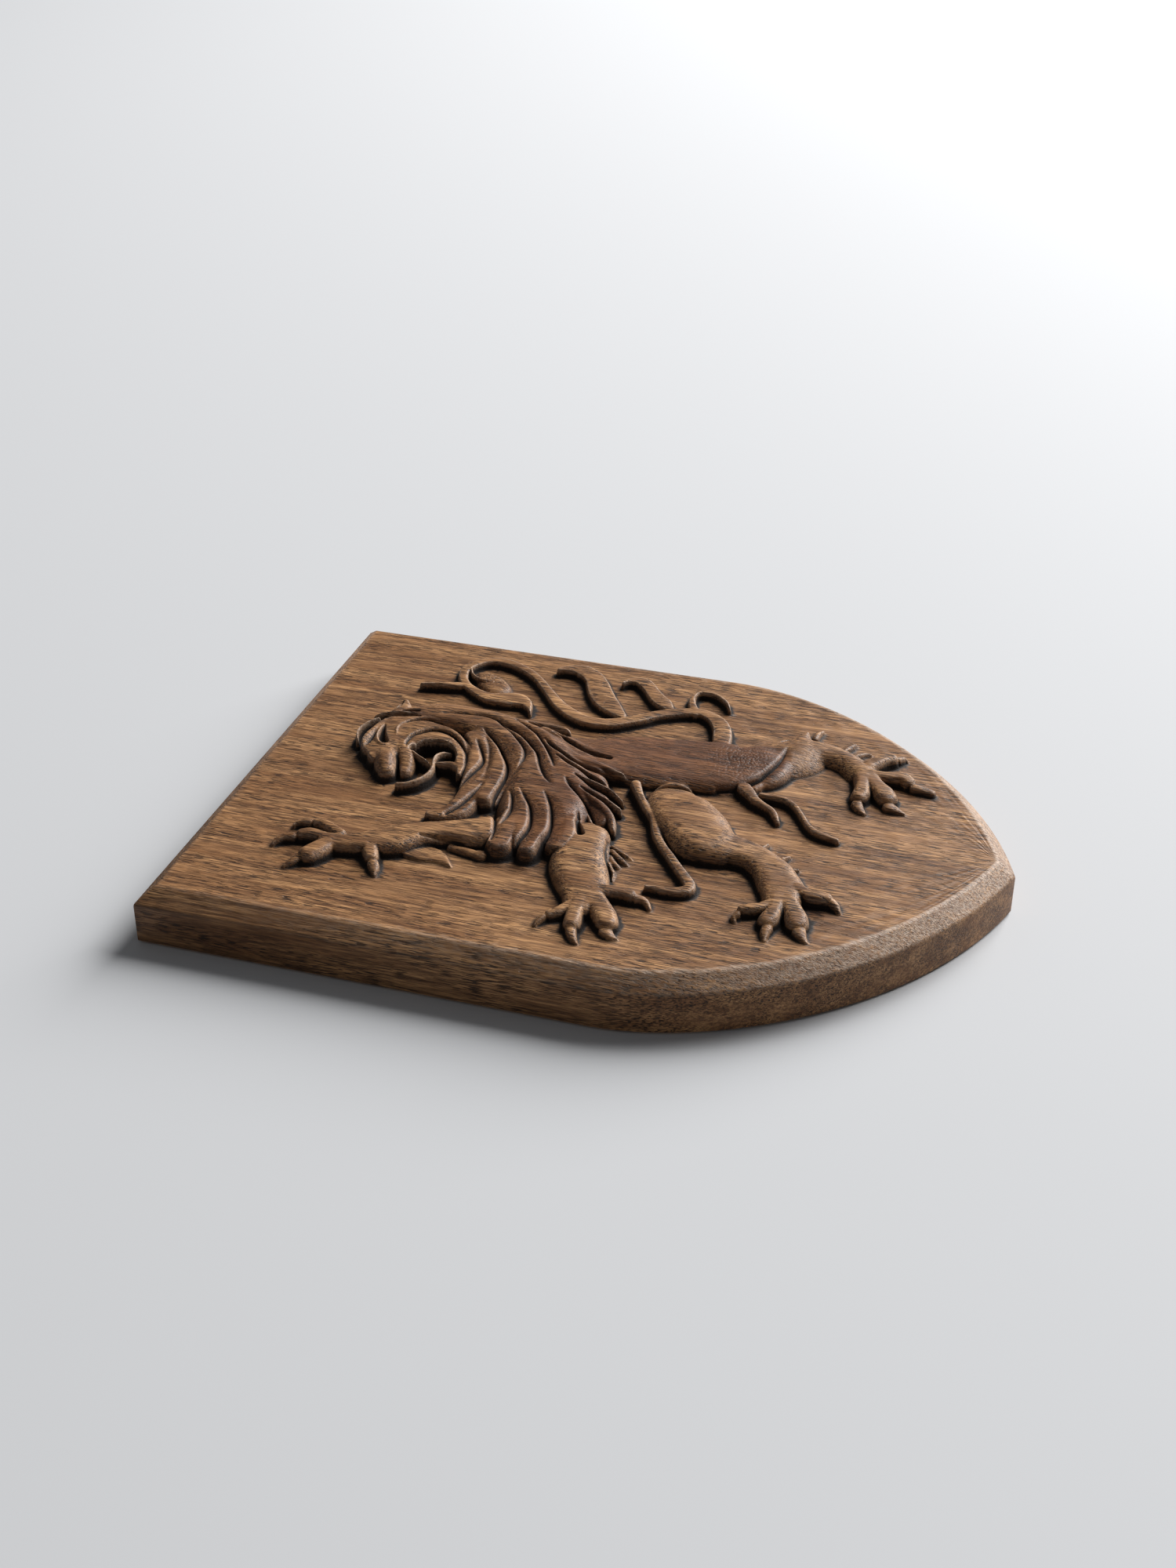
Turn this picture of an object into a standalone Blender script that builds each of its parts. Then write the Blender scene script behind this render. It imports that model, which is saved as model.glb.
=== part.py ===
"""A carved wooden wall plaque: a shield-shaped board with a lion rampant standing in relief on its face.

Board and lion are one piece of wood, so the whole plaque is one solid.
The frame is the plaque as it hangs: +X to the viewer's right, +Z up, the face towards -Y.
The origin is on the flat back, at the height where the plaque is hung.
"""

import math

import bmesh
import bpy
import numpy as np
from mathutils import Vector
from mathutils.geometry import interpolate_bezier

MM = 0.001

# Board, in metres.
BOARD_WIDTH = 0.200
BOARD_HEIGHT = 0.268
SIDE_LENGTH = 0.1515  # the straight part of each side, below the top corners
SHOULDER_PULL = 0.0395  # how far the curve keeps to the side's direction
TIP_PULL = 0.0665  # how far it keeps to the tip's direction
TIP_ANGLE = math.radians(17.6)  # rise of the lower edge as it leaves the tip
CURVE_STEPS = 22  # facets of each lower side
FACE_THICKNESS = 0.0193  # back to the carved-down ground
CHAMFER_IN = 0.0055  # bevel round the front edge, seen from the front
CHAMFER_DEEP = 0.0048
HANG_DROP = 0.065  # the hanging point lies this far below the top edge

# Carving grid, in millimetres. Across is +X, down is from the top edge, rise is off the ground.
CARVED_ACROSS = (-93.0, 90.0)
CARVED_DOWN = (28.0, 240.0)
GRID_STEP = 0.8
LEAST_RISE = 0.4  # lower than this the figure's skin dips under the ground
DIP = 1.0  # as far as this
ROOT_DEPTH = 3.0  # the figure's underside is sunk this far into the board, to be joined to it
KEEP_SHARE = 0.094  # share of the grid's triangles that the solid keeps

# Each path is a list of rows: across, down, half width, rise above the ground (or depth of a cut).
BODY = {
    "torso": [
        (20, 108, 12, 5.2), (21, 120, 13.5, 5.2), (24, 131, 16, 5), (25.5, 142, 16.4, 5),
        (27.4, 152, 16.4, 5), (28.3, 161, 16.4, 5.2), (29, 168, 15.6, 5.2),
        (31.5, 173.4, 13.2, 5.2),
    ],
    "far_thigh": [(33, 170, 12, 5), (40, 179, 12.5, 4.9), (44, 184, 12.4, 4.8)],
    "far_shank": [
        (43, 183, 9, 4.8), (47.6, 190, 9.2, 4.8), (48.6, 195, 7.2, 4.6), (47.2, 200, 6.1, 4.4),
        (44.4, 204.6, 5.8, 4.3), (41, 208.4, 6.2, 4.2), (37.8, 211.4, 6.2, 4.1),
    ],
    "far_hock": [(46, 186, 8, 4.8), (53, 185.6, 5.4, 4.5), (58.4, 186.2, 1.6, 3.8)],
    "near_thigh": [
        (3, 151, 9.5, 4.6), (-1, 153, 11, 5.4), (-7.5, 157.8, 12.2, 6.2),
        (-14, 162.8, 12.6, 6.4), (-20, 167.2, 11.8, 6.2),
    ],
    "near_shank": [
        (-20.5, 164, 8, 5.8), (-22.2, 170, 9.6, 6), (-23, 175, 8.8, 5.7),
        (-23.4, 180, 7.2, 5.3), (-25.2, 185.6, 6.5, 5), (-28.2, 189.8, 6.6, 4.9),
        (-31.6, 193.4, 7.2, 4.8), (-36.2, 196.2, 7.6, 4.6), (-40.4, 198.4, 7.8, 4.4),
        (-45.5, 199.4, 6.6, 4.3),
    ],
    "low_foreleg": [
        (-30, 130.4, 8, 5.4), (-38, 131, 9.2, 5.4), (-45, 132, 9.8, 5.2),
        (-51, 134.4, 9.6, 4.9), (-57, 137.2, 8.8, 4.7), (-62, 138.9, 7.6, 4.5),
        (-67, 139.6, 6.2, 4.3),
    ],
    "high_foreleg": [
        (-35, 101, 8.6, 5.4), (-38.8, 92, 7.4, 5.3), (-41, 84.5, 5.8, 5.2),
        (-43.8, 78, 5.8, 5.1), (-49.3, 70.5, 7.6, 5), (-54.2, 62, 5.8, 4.8),
        (-56.8, 55.5, 4.4, 4.5), (-57.4, 50, 4.6, 4.4),
    ],
}
MANE = {
    "nape": [
        (26, 46, 6, 6.2), (30, 56, 7.5, 6.8), (30, 68, 8.5, 7), (27, 80, 10.5, 7), (20, 92, 13, 7),
        (10, 100, 15, 6.8),
    ],
    "chest": [
        (16, 98, 13, 6.8), (4, 105, 16, 6.8), (-10, 110, 17, 6.7), (-24, 112, 15.5, 6.5),
        (-33, 112.5, 11.5, 6.4), (-38, 112, 7, 6.2),
    ],
    "fringe": [
        (24, 106, 6, 5.2), (13, 115.5, 7, 5), (1, 122, 7, 4.8), (-10, 127.5, 5.5, 4.5),
        (-19, 131, 4, 4.2),
    ],
    "neck": [(20, 84, 7, 6.5), (8, 89, 7, 6.4), (-6, 91, 6, 6), (-17, 90, 5.5, 5.6)],
    "beard": [
        (18, 74, 5, 6.2), (8, 79, 5, 6.2), (-5, 82.5, 5, 5.8), (-18, 84.5, 5.2, 5.2),
        (-27, 83.5, 5, 4.6), (-31.5, 78.5, 3, 4), (-32.2, 75.6, 1.8, 3.8),
    ],
}
CHEST_ENDS = [
    [(-28, 104.4, 4.8, 6.4), (-36, 104.2, 4.8, 6.2), (-44.2, 104.6, 4.6, 5.8)],
    [(-30, 114.2, 3.9, 6.4), (-38, 114.2, 3.9, 6.2), (-44.4, 114.2, 3.6, 5.7)],
    [(-26, 122.8, 4.8, 6.2), (-34, 123, 4.8, 6), (-38.6, 122.8, 4.6, 5.6)],
]
FACE = [
    (-1.5, 46.7, 5.6, 5.5), (3.5, 45.2, 8.6, 6.1), (9, 45.4, 8.8, 6.3), (15, 48.2, 10.4, 6.6),
    (19, 52, 9, 6.7),
]
MUZZLE = [(-1, 47.6, 4.6, 6), (-4.5, 48.9, 4.5, 6.9), (-8, 50.4, 4.2, 6.6), (-10.4, 51.6, 3.4, 5.6)]
CHEEK_MARK = [
    (9, 47.7, 0.3, 0.2), (11.4, 46.8, 0.6, 0.5), (13.8, 46.2, 0.6, 0.5), (16.2, 46.6, 0.5, 0.4),
    (17.4, 48.2, 0.3, 0.2),
]
UPPER_LIP = [(-7.4, 57.2, 3, 3.5), (-3.8, 56.6, 3.4, 4.8), (1, 54.6, 4.4, 5.9), (6, 53, 5, 6.3)]
CHEEK = [
    (12, 56, 7, 6.5), (15.6, 60, 7.6, 6.5), (13.5, 65.5, 7.2, 6.4), (8.5, 70.5, 5, 6.1), (2.5, 74, 3, 5.8),
    (-3, 76.2, 1.9, 5.3), (-7, 77, 1.1, 4.8),
]
MOUTH = [
    (3.6, 56.8, 1.8, 9), (4.9, 60.8, 4.2, 10), (4.2, 65, 5.6, 10), (0.6, 69.3, 4, 10),
    (-2.2, 70.6, 1.4, 4),
]
LIP_NOTCH = [(-11.5, 55.9, 1, 5), (-8.8, 55.1, 0.8, 4), (-6.6, 54.2, 0.5, 2), (-5, 53.4, 0.3, 0.6)]
CHEEK_CUTS = [
    [
        (3, 53.6, 0.6, 0.2), (6, 52.7, 1.3, 0.8), (10, 53, 1.9, 1.2), (13.6, 55.3, 2.4, 1.8),
        (16.4, 58.4, 2.6, 2.2), (17, 62.2, 2.6, 2.2), (15.4, 66.6, 2.4, 2), (11.4, 71, 2, 1.5),
        (5.6, 75.2, 1.4, 1), (0, 77.4, 0.8, 0.4),
    ],
    [
        (17, 46.6, 0.8, 0.3), (20.6, 49.4, 1.8, 1.4), (23, 53, 2.6, 2.4), (23.6, 58, 3, 2.7),
        (22.2, 63.8, 3, 2.5), (19, 68.4, 2.4, 1.9), (14.2, 72.6, 1.6, 1), (8.6, 76.2, 0.8, 0.3),
    ],
]
TONGUE = [
    (-18.5, 58.6, 0.9, 4.2), (-17.6, 61.4, 0.9, 4.3), (-14.6, 64.8, 0.9, 4.7), (-10.2, 66.8, 0.9, 5),
    (-5.6, 66.8, 0.9, 5.2), (-1, 65.6, 0.8, 5.2), (2.4, 65.4, 0.8, 5), (5.2, 67, 0.8, 4.6),
    (6.6, 69.4, 0.7, 3.6),
]
FANG = [(1.2, 57, 0.9, 5.8), (-0.7, 59.7, 0.8, 5.6), (-2, 62.4, 0.6, 5.4), (-2.9, 64.8, 0.3, 5.2)]
LOWER_JAW = [(-2.6, 66.8, 0.6, 4.8), (-1.8, 69.6, 1, 5), (-1.4, 72.6, 1.3, 5.2), (-3, 75.6, 1.6, 5.3)]
EYE = [(15.2, 41, 0.3, 0.6), (11.4, 41.8, 0.9, 2), (7.4, 43, 1.5, 3.2), (4.4, 45, 1.5, 3.2)]
EYELID = [
    (13.6, 40.2, 0.6, 0.2), (8, 41, 0.9, 0.5), (4, 42.4, 0.9, 0.6), (1.9, 44.8, 0.9, 0.6),
    (2.6, 47, 0.7, 0.3),
]
BROW = [(19, 39.4, 1.4, 0.3), (13, 38.4, 1.9, 0.7), (7.4, 37.4, 2, 0.9), (3.4, 36.9, 1.8, 0.8)]
BROW_CUT = [(1.2, 39.4, 0.9, 1), (4.5, 39.9, 1, 1.2), (8.6, 39.9, 0.7, 0.6)]
FORELOCK = [
    (5.2, 34.4, 0.6, 4.8), (9.2, 32.6, 0.6, 5.2), (12.6, 32.5, 0.6, 5.4), (16.4, 34.2, 0.7, 5.8),
    (19.6, 37, 0.8, 6.2),
]
FORELOCK_CUT = [(6.4, 35.3, 0.6, 2.6), (10.6, 34.6, 1.5, 4.2), (15, 35.9, 1.5, 4.2), (18.4, 38, 0.6, 2)]
EAR = [(27, 41.6, 3.8, 5.8), (30, 41.6, 4, 5.3), (33.6, 41, 3.6, 4.9), (36.8, 40.4, 1.8, 4.4)]
EAR_RIDGE = [
    (21.4, 34.2, 0.4, 5.4), (23.4, 37, 0.7, 6), (25.3, 41.4, 0.8, 6.4), (25.9, 46, 0.8, 6.6),
    (26.2, 50.5, 0.7, 6.8),
]
EAR_CUTS = [
    [(27, 37.9, 0.5, 0.6), (30, 38.9, 1.2, 2.4), (33, 39.4, 1.2, 2.6), (36, 39.6, 0.7, 1.4)],
    [(19.8, 36.2, 0.7, 1.2), (22.8, 40, 1.4, 3.4), (24, 45.4, 1.5, 3.4), (24.4, 50.8, 0.6, 1.2)],
    [(26.6, 43.4, 0.6, 1.2), (27.2, 46.2, 1.2, 2.8), (27.8, 49.2, 0.7, 1.2)],
]
LOCK_CUTS = [
    [
        (-44, 101.5, 2.5, 1.2), (-38, 100.8, 3, 1.4), (-31, 98.5, 3.6, 1.8), (-24, 95.4, 4.5, 2.2),
        (-19.7, 93.9, 5, 2.4), (-15.6, 93.6, 5, 2.4), (-10.6, 93.6, 5, 2.4), (-5.5, 93.5, 5, 2.4),
        (-0.3, 92.5, 5, 2.4), (3.5, 90.9, 5, 2.4), (8.1, 88.1, 5, 2.4), (12.8, 85, 4.5, 2.2),
        (17.4, 81, 4, 1.8), (20.4, 78, 2.8, 1.2), (22.2, 75.9, 1.4, 0.4),
    ],
    [
        (-34, 101.6, 2.2, 0.8), (-30.5, 102.3, 3, 1.4), (-26.5, 102.4, 3.2, 1.6), (-21.9, 101.4, 3.2, 1.6),
        (-17.1, 99.8, 2.6, 1.2), (-12.9, 97.4, 1.4, 0.3),
    ],
    [
        (-50, 109.6, 4, 2.2), (-43.9, 110.2, 5, 2.4), (-39.8, 111.1, 5, 2.4), (-34.9, 111.5, 5, 2.4),
        (-30.2, 110.8, 5, 2.4), (-25.5, 109.3, 4.6, 2.2), (-21.1, 107.4, 4, 1.9), (-16.9, 104.4, 3, 1.2),
        (-12.7, 101.3, 1.6, 0.3),
    ],
    [
        (-48, 118, 4, 2.4), (-43, 118, 5, 2.4), (-39, 118.2, 5, 2.4), (-35, 118.6, 5, 2.4),
        (-31.1, 118.2, 5, 2.4), (-25.8, 116.7, 5, 2.3), (-20.5, 114.8, 4, 1.9), (-16.1, 112.5, 3, 1.3),
        (-12.7, 110, 1.6, 0.3),
    ],
    [
        (-24, 132.4, 3, 2.2), (-22.2, 130.8, 3.5, 2.4), (-18.8, 128.7, 4, 2.4), (-14.7, 126.1, 4, 2.4),
        (-11.6, 123.3, 4, 2.2), (-8.5, 120, 3.4, 1.9), (-5.1, 116.6, 2.6, 1.4), (-1.7, 114, 1.4, 0.4),
    ],
    [
        (4.6, 107.7, 1.6, 0.5), (9.3, 105.5, 2.8, 1.4), (13.3, 103.2, 3.2, 1.8), (16.9, 100.9, 3.4, 1.9),
        (20.4, 98.3, 3.4, 1.9), (24.3, 95.3, 3.2, 1.9), (27.2, 91.9, 2.8, 1.7), (29.7, 88.6, 2.4, 1.2),
        (31.7, 85, 1.4, 0.4),
    ],
    [
        (-6.3, 109.8, 1.6, 0.5), (-2.8, 107, 2.8, 1.2), (1, 104.6, 3.2, 1.5), (5.8, 102.1, 3.4, 1.7),
        (8.5, 101, 3.4, 1.8), (11.8, 99.4, 3.6, 2.2), (14.8, 97, 3.8, 2.4), (18.6, 93.8, 3.8, 2.5),
        (22.4, 90.1, 3.6, 2.4), (25.1, 86.2, 2.8, 1.8), (27, 82.4, 1.4, 0.5),
    ],
    [
        (-0.7, 95.9, 1.5, 0.3), (3.5, 96.2, 2.4, 0.9), (7.4, 96.1, 2.6, 1.2), (11.7, 94.8, 2.8, 1.4),
        (15.7, 92.3, 2.8, 1.5), (19.5, 89.1, 2.8, 1.5), (23, 85.9, 2.8, 1.5), (25.9, 82.5, 2.8, 1.5),
        (28.8, 79, 2.4, 1.5), (30, 75.6, 2, 1.4), (30.5, 72.5, 1.8, 1.3), (30.1, 68.6, 1.8, 1.2),
        (29.6, 63.8, 1.8, 1), (28.5, 58.6, 1.4, 0.4),
    ],
    [
        (-24.5, 76.6, 3.5, 1.8), (-20.9, 77.7, 4, 2), (-17, 78.6, 4, 2), (-13.4, 79.7, 4, 2),
        (-9.3, 80.8, 4, 2), (-4.6, 81.9, 4, 2), (-0.7, 82.7, 4, 2), (3.1, 82.5, 4, 1.9),
        (7.2, 80.6, 3.4, 1.7), (11.3, 78.2, 2.6, 1.2), (14.5, 76.1, 1.4, 0.4),
    ],
    [
        (-31.3, 81.2, 2.6, 1.4), (-29.5, 82.4, 3, 1.5), (-26.2, 84, 3.4, 1.6), (-22.7, 85.1, 3.4, 1.6),
        (-18.8, 86.1, 3, 1.4), (-15.8, 86.9, 2.4, 1), (-12.3, 87.5, 1.4, 0.4),
    ],
]
WEDGE_CUTS = [
    [
        (-32, 128.8, 1.3, 3.2), (-29.4, 127.4, 1.2, 3), (-26.4, 126, 1, 2.6), (-23.2, 125.3, 0.8, 1.8),
        (-19.4, 123.9, 0.4, 0.5),
    ],
    [
        (-14.4, 138, 1.2, 2.8), (-13, 135.2, 1.2, 2.8), (-10.4, 130.8, 1.1, 2.6), (-8.8, 127.5, 1, 2.3),
        (-7, 124.2, 0.8, 1.8), (-4.9, 120.3, 0.4, 0.5),
    ],
    [
        (-6.6, 135.2, 1.8, 3), (-4.6, 131.4, 1.8, 3.4), (-3.1, 127.5, 1.6, 3.4), (-1.3, 123.1, 1.3, 3),
        (0.4, 119.5, 0.9, 2.2), (2, 116.3, 0.5, 0.8),
    ],
    [
        (1.6, 127, 1, 1.8), (3, 123.4, 1.2, 2.4), (4.6, 120.2, 1.2, 2.6), (6.2, 117, 1, 2.6),
        (7.6, 113.5, 0.9, 2.3), (9.6, 110.1, 0.7, 1.7), (12, 106.3, 0.4, 0.5),
    ],
    [
        (7.4, 130, 1.2, 1.8), (8.2, 124, 1.5, 2.4), (9.4, 118.6, 1.3, 2.6), (10.9, 113.2, 1.1, 2.5),
        (13.2, 109.2, 0.9, 2.3), (16, 105.2, 0.8, 1.9), (19.2, 101.6, 0.6, 1.3), (22.2, 98.9, 0.4, 0.4),
    ],
    [
        (18, 124, 1.2, 1.6), (18.6, 119.6, 1.4, 2.2), (19.8, 115.2, 1.2, 2.4), (21.6, 111.4, 1, 2.3),
        (24, 107.4, 0.9, 2), (27, 103.5, 0.7, 1.4), (28.7, 99.8, 0.4, 0.4),
    ],
    [(31.8, 104, 1.4, 2.6), (31.6, 99, 1.3, 2.6), (31.8, 94, 1, 2.2), (32.6, 89.5, 0.5, 0.8)],
]
LOCK_TIPS = [
    [
        (-4, 119.4, 2, 6.2), (-9.6, 126.4, 2.2, 5.8), (-13, 130.6, 2.2, 5.4), (-17, 134.2, 2.1, 5),
        (-21, 136.4, 1.7, 4.6), (-24.2, 137.6, 1.1, 4),
    ],
    [
        (0.4, 115.6, 2, 6.4), (-4.6, 122.4, 2.1, 6), (-7.6, 127.6, 2, 5.6), (-9.8, 132.2, 1.7, 4.9),
        (-11.6, 136.4, 0.8, 4),
    ],
    [
        (4.4, 109, 1.6, 6.6), (1.6, 117.4, 1.5, 6.2), (0.6, 122, 1.3, 5.8), (-0.7, 126.6, 1.1, 5.3),
        (-2.6, 131, 0.9, 4.8), (-5.2, 135.6, 0.4, 4.2),
    ],
    [
        (15, 102.6, 1.6, 6.5), (10.6, 109.4, 1.5, 6.3), (8.6, 113.8, 1.3, 6), (6.9, 117.8, 1.1, 5.6),
        (4.6, 123.4, 0.4, 4.9),
    ],
    [
        (24.4, 99, 2.6, 6.4), (17.8, 107.2, 2.9, 6.3), (14.6, 113, 2.9, 6.1), (13, 118.6, 2.5, 5.8),
        (12, 124, 1.9, 5.4), (10.2, 129, 1.1, 5), (9.4, 132, 0.4, 4.7),
    ],
    [
        (30, 96, 2.2, 6.2), (26.2, 104.6, 2.2, 6), (24.4, 109.6, 1.9, 5.8), (22.6, 114.6, 1.5, 5.4),
        (21, 118.6, 1, 5.1), (19.5, 122.4, 0.4, 4.9),
    ],
    [
        (32, 84, 1.8, 6.4), (34.2, 93, 1.7, 5.4), (34.8, 99, 1.6, 4.8), (34.2, 103.2, 1.4, 4.4),
        (33, 104.6, 1, 4),
    ],
]
# Toes, each with its claw.
TOES = [
    (
        [(-58.6, 50.4, 3.8, 4.4), (-62.8, 48.4, 4.2, 4.4), (-65.6, 46.6, 4.2, 4.2)],
        [(-68, 43.8, 1.9, 2.8), (-70.4, 42.2, 1.5, 2.2), (-72.6, 40.6, 0.7, 1.1)],
    ),
    (
        [(-57, 51, 2.6, 4.4), (-55.6, 46, 2.5, 4.4), (-55.1, 42, 2.6, 4.3), (-55.8, 39.8, 2.3, 4)],
        [
            (-57.2, 37.2, 1.7, 3.2), (-58.4, 34.2, 1.5, 2.9), (-60.4, 32.3, 1.2, 2.3),
            (-61.8, 31.8, 0.7, 1.5),
        ],
    ),
    (
        [(-52.6, 52, 2.4, 4.2), (-50.1, 48, 2.2, 4.1), (-48.2, 44.4, 2.1, 4), (-47.7, 41.8, 1.9, 3.8)],
        [(-47.8, 39.2, 1.4, 3.2), (-47.8, 36.6, 1.3, 3), (-48.8, 34.8, 1.1, 2.4), (-50, 34, 0.6, 1.8)],
    ),
    (
        [(-56.5, 63.8, 3.2, 4.4), (-60, 65.8, 2.9, 4.3), (-61.9, 66.8, 2.5, 4)],
        [(-64.4, 68.3, 2, 2.9), (-66.7, 69.6, 1.7, 2.4), (-69, 70.5, 0.7, 1.2)],
    ),
    (
        [(-66, 139, 3.4, 4.3), (-73, 139.3, 3, 4.3), (-76.6, 139.8, 3.1, 4.3), (-78, 140, 3, 4)],
        [
            (-80.2, 140.4, 1.9, 2.8), (-82.9, 141.5, 1.5, 2.3), (-84.6, 142.8, 1.1, 1.7),
            (-85.6, 143.8, 0.5, 0.9),
        ],
    ),
    (
        [
            (-63.5, 142.6, 4.4, 4.4), (-68, 146.2, 4.3, 4.4), (-71.6, 148.8, 4.3, 4.4),
            (-74.2, 150.2, 3.9, 4.2),
        ],
        [(-77.7, 150.8, 2.2, 2.4), (-79.1, 152.7, 1.6, 1.8), (-79.7, 154.8, 0.6, 0.8)],
    ),
    (
        [
            (-59.5, 143, 3.4, 4.4), (-58.2, 147.4, 2.6, 4.3), (-57.8, 150.8, 2.5, 4.2),
            (-58.4, 153.4, 2.3, 4),
        ],
        [
            (-58.8, 155.4, 1.6, 3.1), (-58.8, 157.6, 1.4, 2.8), (-60, 159.4, 1.1, 2.2),
            (-61.4, 160.4, 0.6, 1.4),
        ],
    ),
    (
        [(-70.6, 136.6, 2.8, 4), (-73.4, 134, 2.1, 3.6), (-75, 131.8, 1.8, 3.2)],
        [(-76.6, 130.2, 1.3, 2.6), (-78.4, 129.2, 1.1, 2.1), (-80.2, 128.6, 0.6, 1.1)],
    ),
    (
        [(-47, 198.4, 3.2, 4.3), (-53.8, 198.6, 3, 4.3), (-57.2, 198, 3.4, 4.3), (-58.6, 197.6, 3.3, 4.1)],
        [(-61.8, 198.2, 1.9, 2.7), (-64.4, 198.1, 1.5, 2.1), (-67, 198.6, 0.7, 0.9)],
    ),
    (
        [
            (-47, 201.6, 3.6, 4.3), (-52.4, 204.6, 3.8, 4.4), (-55.4, 206.1, 4.1, 4.4),
            (-57.2, 206.7, 3.9, 4.1),
        ],
        [(-60.8, 208.2, 2.3, 2.8), (-62.3, 209.2, 1.7, 2.1), (-64.2, 211, 0.7, 0.9)],
    ),
    (
        [
            (-39.8, 203.4, 2.8, 4.4), (-42.2, 207, 2.6, 4.3), (-42.4, 210.6, 2.6, 4.3),
            (-42.2, 213, 2.4, 4.1),
        ],
        [(-43, 215, 1.6, 3.2), (-44, 216.6, 1.3, 2.5), (-45.5, 217.7, 0.7, 1.3)],
    ),
    (
        [(-50, 197, 2.4, 4.2), (-53.2, 194, 2.2, 4), (-54.6, 190.6, 2.1, 3.9), (-55.4, 188.8, 1.9, 3.6)],
        [(-57.4, 187.8, 1.2, 2.8), (-58.8, 187, 1, 2.2), (-59.9, 187.5, 0.6, 1.2)],
    ),
    (
        [(35, 210.6, 3.6, 4.3), (28.5, 211.6, 3, 4.2), (24.8, 211.9, 3.4, 4.3), (22.6, 211.6, 3.2, 4.1)],
        [(18.6, 211.6, 2, 2.6), (16.7, 212.8, 1.7, 2.1), (14.6, 214.9, 0.8, 1)],
    ),
    (
        [(36, 212.6, 3.6, 4.2), (30.4, 216.4, 3.6, 4.3), (27, 219.2, 4.1, 4.4), (24.6, 220.8, 3.9, 4.2)],
        [(20.4, 222.2, 2.2, 2.5), (19.7, 224.6, 1.7, 1.9), (18.8, 227.6, 0.7, 0.9)],
    ),
    (
        [
            (37.6, 213.4, 2.8, 4.2), (37.4, 217, 2.6, 4.2), (38.2, 221, 2.8, 4.3), (38.4, 224.2, 3.1, 4.2),
            (37, 226.2, 2.8, 3.9),
        ],
        [(35, 228.8, 2, 2.9), (34.6, 232, 1.8, 2.5), (34, 234.8, 1.5, 2)],
    ),
    (
        [(43.5, 211.5, 3.4, 4.2), (48.2, 215, 3.1, 4.2), (50.4, 217.8, 2.9, 4)],
        [(52, 220.2, 1.6, 2.8), (53.8, 221.9, 1.2, 2.2), (54, 223, 0.6, 1.2)],
    ),
]
TAIL = [
    (43, 158.4, 3.4, 4.2), (47.3, 157.5, 3.6, 4.2), (52.6, 156.2, 3.5, 3.7), (57.6, 153.8, 3.2, 3.3),
    (61.3, 150.6, 2.8, 3.1), (63.4, 146.3, 2.4, 3), (62.9, 141.6, 2.3, 3), (60.4, 135.6, 2.5, 3),
    (56.8, 129.8, 2.5, 3), (53.3, 126, 2.7, 3), (49.7, 121.4, 2.6, 3), (47, 117, 2.8, 3),
    (45.7, 112, 2.7, 3), (46, 106.5, 2.7, 3), (48.4, 101.4, 2.8, 3), (52.9, 95.5, 2.6, 3),
    (57.2, 91.5, 2.3, 3), (62.9, 87, 2, 3), (67.3, 83.5, 1.9, 3), (71, 80.3, 1.8, 3), (74.5, 76.4, 1.9, 3),
    (77.2, 72.2, 2, 3), (79.4, 67.5, 2.1, 3), (80.2, 62.5, 2.1, 3), (79, 58, 2, 3), (76.4, 54.9, 2.1, 3),
    (73, 52.8, 2.1, 3), (69.4, 51.9, 2.1, 3), (65.3, 52.6, 2, 3), (62, 53.9, 1.9, 3), (58.4, 56.4, 1.9, 3),
    (56, 59.3, 1.9, 3), (53.6, 63, 2.2, 3), (51.9, 67, 2.9, 3), (51.9, 71, 3.6, 3), (52.7, 74.8, 4.3, 3),
    (53, 78.4, 4.2, 3), (51.3, 82, 2.7, 3), (48.4, 84.3, 1.3, 3), (45.3, 85.7, 0.4, 2.6),
]
TAIL_FLAMES = [
    [
        (52.8, 118.4, 2, 3), (57.4, 113.6, 3.8, 3), (61.5, 109.9, 4.6, 3), (66.5, 106.6, 4.8, 3),
        (71.7, 104, 4.6, 3), (76.7, 101.3, 4.1, 3), (80.2, 98.1, 4, 3), (81.9, 94.8, 3.9, 3.1),
        (82, 91.8, 3, 3.2), (81, 88.8, 2, 3.3), (79.3, 86.2, 1, 3.4),
    ],
    [
        (62, 134.6, 1.6, 3), (66.2, 130.9, 3.2, 3), (69.5, 127.6, 3.2, 3), (73.6, 124.5, 2.9, 3),
        (77.5, 121.7, 3, 3), (80, 118.9, 3, 3), (80.1, 115.8, 2.1, 3.1), (78.6, 113.6, 1.2, 3.2),
        (76.4, 112.2, 0.6, 3.2),
    ],
]
TAIL_RING = [
    (62.6, 144, 2, 3), (67, 141.7, 1.7, 3), (70, 140.6, 1.5, 3), (73, 140, 1.3, 3), (76, 140.2, 1.1, 3),
    (77.9, 141.4, 1, 3), (78.7, 143.9, 1, 3), (78.2, 147.4, 1, 3), (75.9, 150.6, 0.9, 3),
    (72.7, 153.4, 0.8, 3), (69.6, 155, 0.5, 2.7),
]
TAIL_BAR = [(53.2, 40.3, 0.7, 3.3), (54.7, 46.6, 0.9, 3.7), (56.6, 53, 1.6, 3.4), (58, 56.6, 1.6, 3.2)]
TAIL_MOUND = [(61, 68, 5, 2.2), (65, 64, 5.4, 2.2), (68, 60, 4.4, 2.2)]
MOUND_RIM = [(64, 65, 0.5, 2.6), (64, 60, 0.7, 2.8), (66.6, 56, 0.7, 3), (70.4, 54, 0.6, 3)]
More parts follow.
